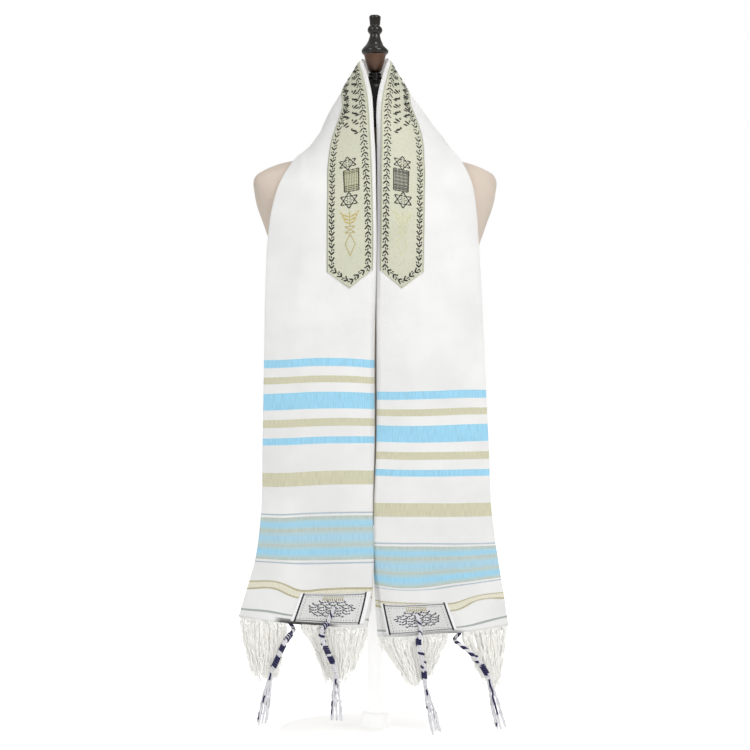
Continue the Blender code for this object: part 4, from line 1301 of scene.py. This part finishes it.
def patch_specks(between):
    """A thin frame of dots inside the stripes and the end lines."""
    half = between / 2 - SIDE_STRIPE - 0.0045
    found = []
    for down in np.arange(0.006, PATCH_LENGTH - 0.004, SPECK_PITCH):
        found += [Stitch(down, side * half, 0, *SPECK) for side in (-1, 1)]
    for across in np.arange(-half, half, SPECK_PITCH):
        found += [Stitch(down, across, 90, *SPECK) for down in (0.0052, PATCH_LENGTH - 0.0058)]
    return found


def patch_bars():
    """Short gilt bars side by side under a gilt line, in the middle near the top."""
    bars = [Stitch(0.0090, across, 0, 0.0066, 0.0019) for across in np.arange(-0.0145, 0.0150, 0.0029)]
    return bars + line_stitches((0.0050, -0.0165), (0.0050, 0.0165), 0.0014)


navy_thread = Finish("navy_thread", dye(24, 26, 52), 0.6).material
gilt_thread = Finish("gilt_thread", dye(166, 156, 102), 0.5, Metallic=0.2).material
for face in ("front", "rear"):
    between = PATCHES["left", face].between  # both sides are woven and stitched to the left one's width
    cloth = jacquard(face, between)
    for side in SIDES:
        place, inner, outer = on_patch(side, face)
        patch = give_wall(shown(f"patch_{side}_{face}", make_patch(side, face), cloth), PATCH_WALL)
        settle(patch, f"corner_patch_{side}_{face}")
        outer - inner
        for name, stitches, thread in (
            ("navy", patch_marks(between), navy_thread),
            ("specks", patch_specks(between), grey_thread),
            ("gilt", patch_bars(), gilt_thread),
        ):
            settle(embroider(f"patch_{side}_{face}_{name}", [(place, stitches)], thread))

# ---- Fringes -------------------------------------------------------------------------------------
# The warp ends of the wool, left long past the hem of each layer, knotted in fives just below the
# cloth and hanging in loose locks that gather together towards their tips.

# Where the yarns gather: how far out their roots and their tips are, how high the tips hang, and
# the power of the way down, above 1 for yarns that turn aside only near their tips.
Gather = namedtuple("Gather", "root_x tip_x tip_height fall")
GATHERS = {
    "left": (
        (0.010, 0.032, 0.122, 1.15),
        (0.045, 0.050, 0.106, 1.0),
        (0.112, 0.073, 0.104, 0.72),
        (0.118, 0.138, 0.116, 1.15),
        (0.150, 0.153, 0.109, 1.15),
        (0.204, 0.181, 0.112, 1.75),
    ),
    "right": (
        (0.006, 0.052, 0.100, 1.0),
        (0.045, 0.061, 0.101, 1.1),
        (0.112, 0.080, 0.114, 1.0),
        (0.118, 0.150, 0.118, 1.15),
        (0.160, 0.174, 0.101, 1.15),
        (0.200, 0.186, 0.098, 0.9),
    ),
}
CORD_GAPS = {"left": (0.110, 0.132), "right": (0.108, 0.132)}  # no yarns there, by the outer cord
KNOTS_TO_A_LAYER = 42
YARNS_TO_A_KNOT = 5
YARNS_ABREAST = 0.85  # as a share of the room between two knots
YARN_RADIUS = 0.00074
YARN_STEPS = np.linspace(0, 1, 9)[1:, None]  # shares of the way from the knot to the tip
KNOT_DROP = (0.005, 0.014)  # the highest and the lowest knots, below the hem
KNOT_HALF = (0, 0, 0.0022)
KNOT_RADII = (0.0009, 0.0019, 0.0008)
LAYER_SPREAD = 0.006  # how far the outer layers' tips hang away from the middle one's
TIP_SCATTER = (0.0034, 0.0028, 0.0046)
YARN_SCATTER = (0.0014, 0.0006, 0.0)  # of a whole yarn, most at its knot
YARN_WANDER = 0.0014


def tube_tree():
    """Node tree: a round yarn along each guide line, as thick as the line's attribute says."""
    recipe = Recipe("spun_yarns", "Sides")
    given, node = recipe.given, recipe.node
    ring = node("GeometryNodeCurvePrimitiveCircle", "Curve", Resolution=given["Sides"], Radius=1.0)
    tubes = node(
        "GeometryNodeCurveToMesh",
        "Mesh",
        Curve=node("GeometryNodeMeshToCurve", "Curve", Mesh=given["Guide"]),
        Profile_Curve=ring,
        Scale=recipe.attribute("thickness", "FLOAT"),
        Fill_Caps=True,
    )
    return recipe.finish(tubes)


YARN = tube_tree()


def spin(name, lines, material, sides):
    """Yarns along lines; each line is (points, radii)."""
    points, radii, edges = [], [], []
    for course, thickness in lines:
        first = len(points)
        points += [tuple(point) for point in course]
        radii += list(np.broadcast_to(thickness, len(course)))
        edges += [(i, i + 1) for i in range(first, len(points) - 1)]
    guide = bpy.data.meshes.new(f"{name}_guide")
    guide.from_pydata(points, edges, [])
    layer = guide.attributes.new("thickness", "FLOAT", "POINT")
    layer.data.foreach_set("value", np.array(radii, np.float32))
    return worked(name, guide, YARN, material, Sides=sides)


def fringe_lines(side, random):
    """Every yarn of one fringe, and the place of every knot."""
    sign = SIDES[side]
    gather = Gather(*np.transpose(GATHERS[side]))
    tuck = tuck_at(sign * HEM)
    lines, knots = [], []
    layers = ((1, 0.0, 1.0, LAYER_PITCH), (0, tuck, 1.0, 0.0), (-1, tuck, FREE_EDGE, -LAYER_PITCH))
    for layer, first, last, height in layers:
        for i in range(KNOTS_TO_A_LAYER):
            share = first + (last - first) * (i + 0.5) / KNOTS_TO_A_LAYER
            along = np.full(YARNS_TO_A_KNOT, sign * (HEM - 0.001))
            spread = (np.arange(YARNS_TO_A_KNOT) / (YARNS_TO_A_KNOT - 1) - 0.5) * YARNS_ABREAST
            shares = share + spread * (last - first) / KNOTS_TO_A_LAYER
            starts = on_cloth(along, shares, np.full(YARNS_TO_A_KNOT, height))
            root = starts.mean(axis=0)
            reach = abs(root[0])
            if CORD_GAPS[side][0] < reach < CORD_GAPS[side][1]:
                continue
            knot = root + (random.normal(0, 0.0020), random.normal(0, 0.0010), -random.uniform(*KNOT_DROP))
            knots.append(knot)
            tip_x, tip_z, power = (np.interp(reach, gather.root_x, column) for column in gather[1:])
            for start in starts:
                tip = np.array([sign * tip_x, root[1] - layer * LAYER_SPREAD, tip_z])
                tip += random.normal(0, TIP_SCATTER)
                hang = knot + (tip - knot) * np.hstack([YARN_STEPS**power, YARN_STEPS**power, YARN_STEPS])
                wander = random.normal(0, YARN_WANDER, hang.shape) * (1, 0.7, 0.2)
                aside = random.normal(0, YARN_SCATTER)
                hang += wander * np.sin(YARN_STEPS * pi * 0.9) + aside * (1 - YARN_STEPS)
                lines.append((np.vstack([start, (start + knot) / 2, knot + aside, hang]), YARN_RADIUS))
    return lines, knots


def soft_yarn(name, colour, glow):
    """Soft wool that lets some light through; a glow stands for the light inside a loose lock."""
    inside = {"Subsurface_Weight": 0.4, "Subsurface_Scale": 0.003, "Subsurface_Radius": (1, 1, 1)}
    lit = {"Emission_Strength": glow, "Emission_Color": (1, 0.99, 0.97, 1)}
    finish = Finish(name, colour, 0.85, Sheen_Weight=0.2, **inside, **lit)
    twist = (finish.noise(900, 1) - 0.4) * 1.5
    finish.feed("Base Color", finish.blend(twist, colour, deeper(colour, 0.76)))
    return finish.material


fringe_yarn = soft_yarn("cream_fringe_yarn", dye(250, 249, 244), 0.065)
for side, seed in (("left", 11), ("right", 12)):
    lines, knots = fringe_lines(side, np.random.default_rng(seed))
    settle(spin(f"fringe_{side}_yarns", lines, fringe_yarn, sides=4), f"fringe_{side}")
    knot_lines = [([knot + KNOT_HALF, knot, knot - KNOT_HALF], KNOT_RADII) for knot in knots]
    settle(spin(f"fringe_{side}_knots", knot_lines, fringe_yarn, sides=8))

# ---- Corner cords --------------------------------------------------------------------------------
# Long wool strands drawn through a hole at each corner, doubled, twisted, then wound and knotted in
# navy over white down to a last knot, from which the strands hang loose.

# Each cord: where it lies on the cloth and how far it is eased off, its course through the air, where
# its strands end and how far they spread, how many of its twisted strands are navy and of how many,
# its navy wraps (top and foot heights, turns and strands), and the navy lengths of loose strands
# (which strand, and its first and last point).
CornerCord = namedtuple("CornerCord", "name side laid ease route strands_end spread twist wraps dark_parts")
CORNER_CORDS = [
    CornerCord(
        "cord_left_inner", "left", [(0.899, 0.286), (0.926, 0.325)], 0.0014,
        [(-0.0785, -0.1475, 0.180), (-0.0785, -0.1490, 0.166), (-0.0705, -0.1500, 0.146),
         (-0.0630, -0.1500, 0.130), (-0.0585, -0.1500, 0.115)],
        (-0.0570, -0.1490, 0.045), 0.0062, (1, 4),
        [(0.1870, 0.1795, 1.3, 2), (0.1745, 0.1680, 1.0, 1), (0.1605, 0.1580, 0.6, 1),
         (0.1545, 0.1430, 1.9, 2), (0.1395, 0.1290, 1.9, 2)],
        [(6, 2, 5), (4, 9, 14)],
    ),
    CornerCord(
        "cord_left_outer", "left", [(0.905, 0.62), (0.926, 0.62)], 0.0008,
        [(-0.1225, -0.1180, 0.1765), (-0.1245, -0.1340, 0.173), (-0.1340, -0.1500, 0.160),
         (-0.1445, -0.1520, 0.137), (-0.1550, -0.1520, 0.115)],
        (-0.1680, -0.1500, 0.041), 0.0056, (2, 4),
        [(0.1705, 0.1620, 1.7, 2), (0.1560, 0.1475, 1.6, 2), (0.1395, 0.1240, 2.6, 2)],
        [(6, 0, 3), (5, 6, 9), (4, 12, 15)],
    ),
    CornerCord(
        "cord_right_inner", "right", [(0.898, 0.280), (0.926, 0.285)], 0.0007,
        [(0.0645, -0.1480, 0.162), (0.0690, -0.1500, 0.143), (0.0725, -0.1510, 0.124),
         (0.0735, -0.1510, 0.108), (0.0750, -0.1510, 0.095)],
        (0.0910, -0.1500, 0.026), 0.0052, (1, 4),
        [(0.1635, 0.1560, 1.6, 2), (0.1480, 0.1390, 1.2, 1), (0.1315, 0.1225, 0.9, 1),
         (0.1170, 0.1065, 1.8, 2)],
        [(6, 1, 4), (4, 7, 9)],
    ),
    CornerCord(
        "cord_right_outer", "right", [(0.905, 0.62), (0.926, 0.62)], 0.0013,
        [(0.1195, -0.1180, 0.1600), (0.1240, -0.1340, 0.157), (0.1400, -0.1500, 0.146),
         (0.1560, -0.1520, 0.130), (0.1680, -0.1520, 0.111)],
        (0.1875, -0.1500, 0.034), 0.0060, (2, 4),
        [(0.1385, 0.1320, 0.9, 1), (0.1270, 0.1130, 2.6, 2)],
        [(6, 1, 12), (5, 13, 15)],
    ),
]
CORD_POINTS = 60
TWISTED_TURNS = 60  # turns to a metre of the doubled strands
WOUND_TURNS = 150  # turns to a metre of the white winding below the first navy wrap
STEPS_TO_A_TURN = 12
FIRST_SEED = 31
STRANDS = 8
STRAND_RADIUS = 0.0015
STRAND_POINTS = 16
TWIST_RADIUS = 0.0017  # from the cord's middle line to a twisted strand's, as are the next two
WINDING_RADIUS = 0.0021
WRAP_RADIUS = 0.0032
LONE_WRAP_STRAND = 0.0019  # the radius of a wrap's strand where there is only one
CORD_CLEARANCE = 0.0030  # between the cloth or its patch and the cord's middle line
TWIST_OVERLAP = 0.02  # how far the twisted strands run in under the winding, as a share
STRAND_TIP_SCATTER = 0.0035
STRAND_APART = 0.0014
STRAND_BOW = 0.0012
STRAND_WANDER = 0.0008
NAVY_PROUD = (0, -0.0016, 0)  # a navy length lies in front of the white strand that it follows


def cord_course(cord):
    """The middle line of a cord's twisted and wound part, from its hole to its last knot."""
    sign = SIDES[cord.side]
    lift = LAYER_PITCH + CLOTH_WALL / 2 + PATCH_WALL + CORD_CLEARANCE + cord.ease
    lift = lift if cord.laid[0][1] < 0.5 else -lift
    on_cloth_part = [on_cloth(np.array(sign * along), np.array(share), lift) for along, share in cord.laid]
    points = np.array(on_cloth_part + [np.array(point) for point in cord.route])
    knots = reaches(points)
    return smooth_rows(points, knots, np.linspace(0, knots[-1], CORD_POINTS))


def wind(course, start, end, radius, turns, phase=0.0):
    """A line wound round a stretch of the course, which is given by shares."""
    steps = max(6, round(turns * STEPS_TO_A_TURN))
    places = np.linspace(start, end, steps)
    index = np.arange(len(course)) / (len(course) - 1)
    middle = np.stack([np.interp(places, index, course[:, axis]) for axis in range(3)], axis=1)
    runs = np.gradient(middle, axis=0)
    runs /= np.linalg.norm(runs, axis=1, keepdims=True)
    sides = np.cross(runs, (0.0, 1.0, 0.0))
    sides /= np.linalg.norm(sides, axis=1, keepdims=True)
    fore = np.cross(sides, runs)
    angle = phase + np.linspace(0, turns * tau, steps)[:, None]
    return middle + radius * (sides * np.cos(angle) + fore * np.sin(angle))


def wound_part(cord, course):
    """The white and the navy lines from the hole to the last knot."""
    index = np.arange(CORD_POINTS) / (CORD_POINTS - 1)
    down = np.minimum.accumulate(course[:, 2])
    first, last = (float(np.interp(-height, -down, index)) for height in (cord.wraps[0][0], down[-1]))
    length = reaches(course)[-1]
    white, navy = [], []
    dark_strands, strands = cord.twist
    for strand in range(strands):
        turns = TWISTED_TURNS * length * first + 0.3
        line = wind(course, 0.0, first + TWIST_OVERLAP, TWIST_RADIUS, turns, strand * tau / strands)
        (navy if strand < dark_strands else white).append((line, STRAND_RADIUS))
    white.append((wind(course, first, last, 0.0002, 1.0), 0.0024))
    for strand in range(2):
        turns = WOUND_TURNS * length * (last - first)
        white.append((wind(course, first, last, WINDING_RADIUS, turns, strand * pi), 0.0016))
    for top, foot, turns, strands in cord.wraps:
        start, end = (float(np.interp(-height, -down, index)) for height in (top, foot))
        for strand in range(strands):
            line = wind(course, start, end, WRAP_RADIUS, turns, strand * pi + top * 900)
            navy.append((line, STRAND_RADIUS if strands > 1 else LONE_WRAP_STRAND))
    return white, navy


def loose_strands(cord, end, random):
    """The strands below the last knot; some are navy for part of their length."""
    white, navy = [], []
    for strand in range(STRANDS):
        angle = strand * tau / STRANDS
        out = np.array([cos(angle), sin(angle), 0])
        tip = np.array(cord.strands_end) + cord.spread * out * (1, 0.7, 0)
        tip += (0, 0, random.normal(0, STRAND_TIP_SCATTER))
        share = np.linspace(0, 1, STRAND_POINTS)[:, None]
        hang = end + (tip - end) * share
        hang += STRAND_BOW * np.sin(share * pi) * out + STRAND_APART * out
        hang += random.normal(0, STRAND_WANDER, hang.shape) * np.sin(share * pi)
        white.append((hang, STRAND_RADIUS))
        for dark, first, last in cord.dark_parts:
            if dark == strand:
                navy.append((hang[first:last] + NAVY_PROUD, 0.0013))
    return white, navy


# painted shade: the cord's white wool is given a greyer colour than the fringe's, for the shade between its
# strands
cord_wool_greyed_for_shade = soft_yarn("white_cord_wool_greyed_for_shade", dye(226, 225, 229), 0.0)
navy_wool = Finish("navy_cord_wool", dye(26, 24, 74), 0.85, Sheen_Weight=0.1).material
for number, cord in enumerate(CORNER_CORDS):
    course = cord_course(cord)
    white, navy = wound_part(cord, course)
    loose_white, loose_navy = loose_strands(cord, course[-1], np.random.default_rng(FIRST_SEED + number))
    for colour, lines, wool_yarn in (
        ("white", white + loose_white, cord_wool_greyed_for_shade), ("navy", navy + loose_navy, navy_wool)
    ):
        node = cord.name if colour == "white" else None
        settle(spin(f"{cord.name}_{colour}", lines, wool_yarn, sides=7), node)
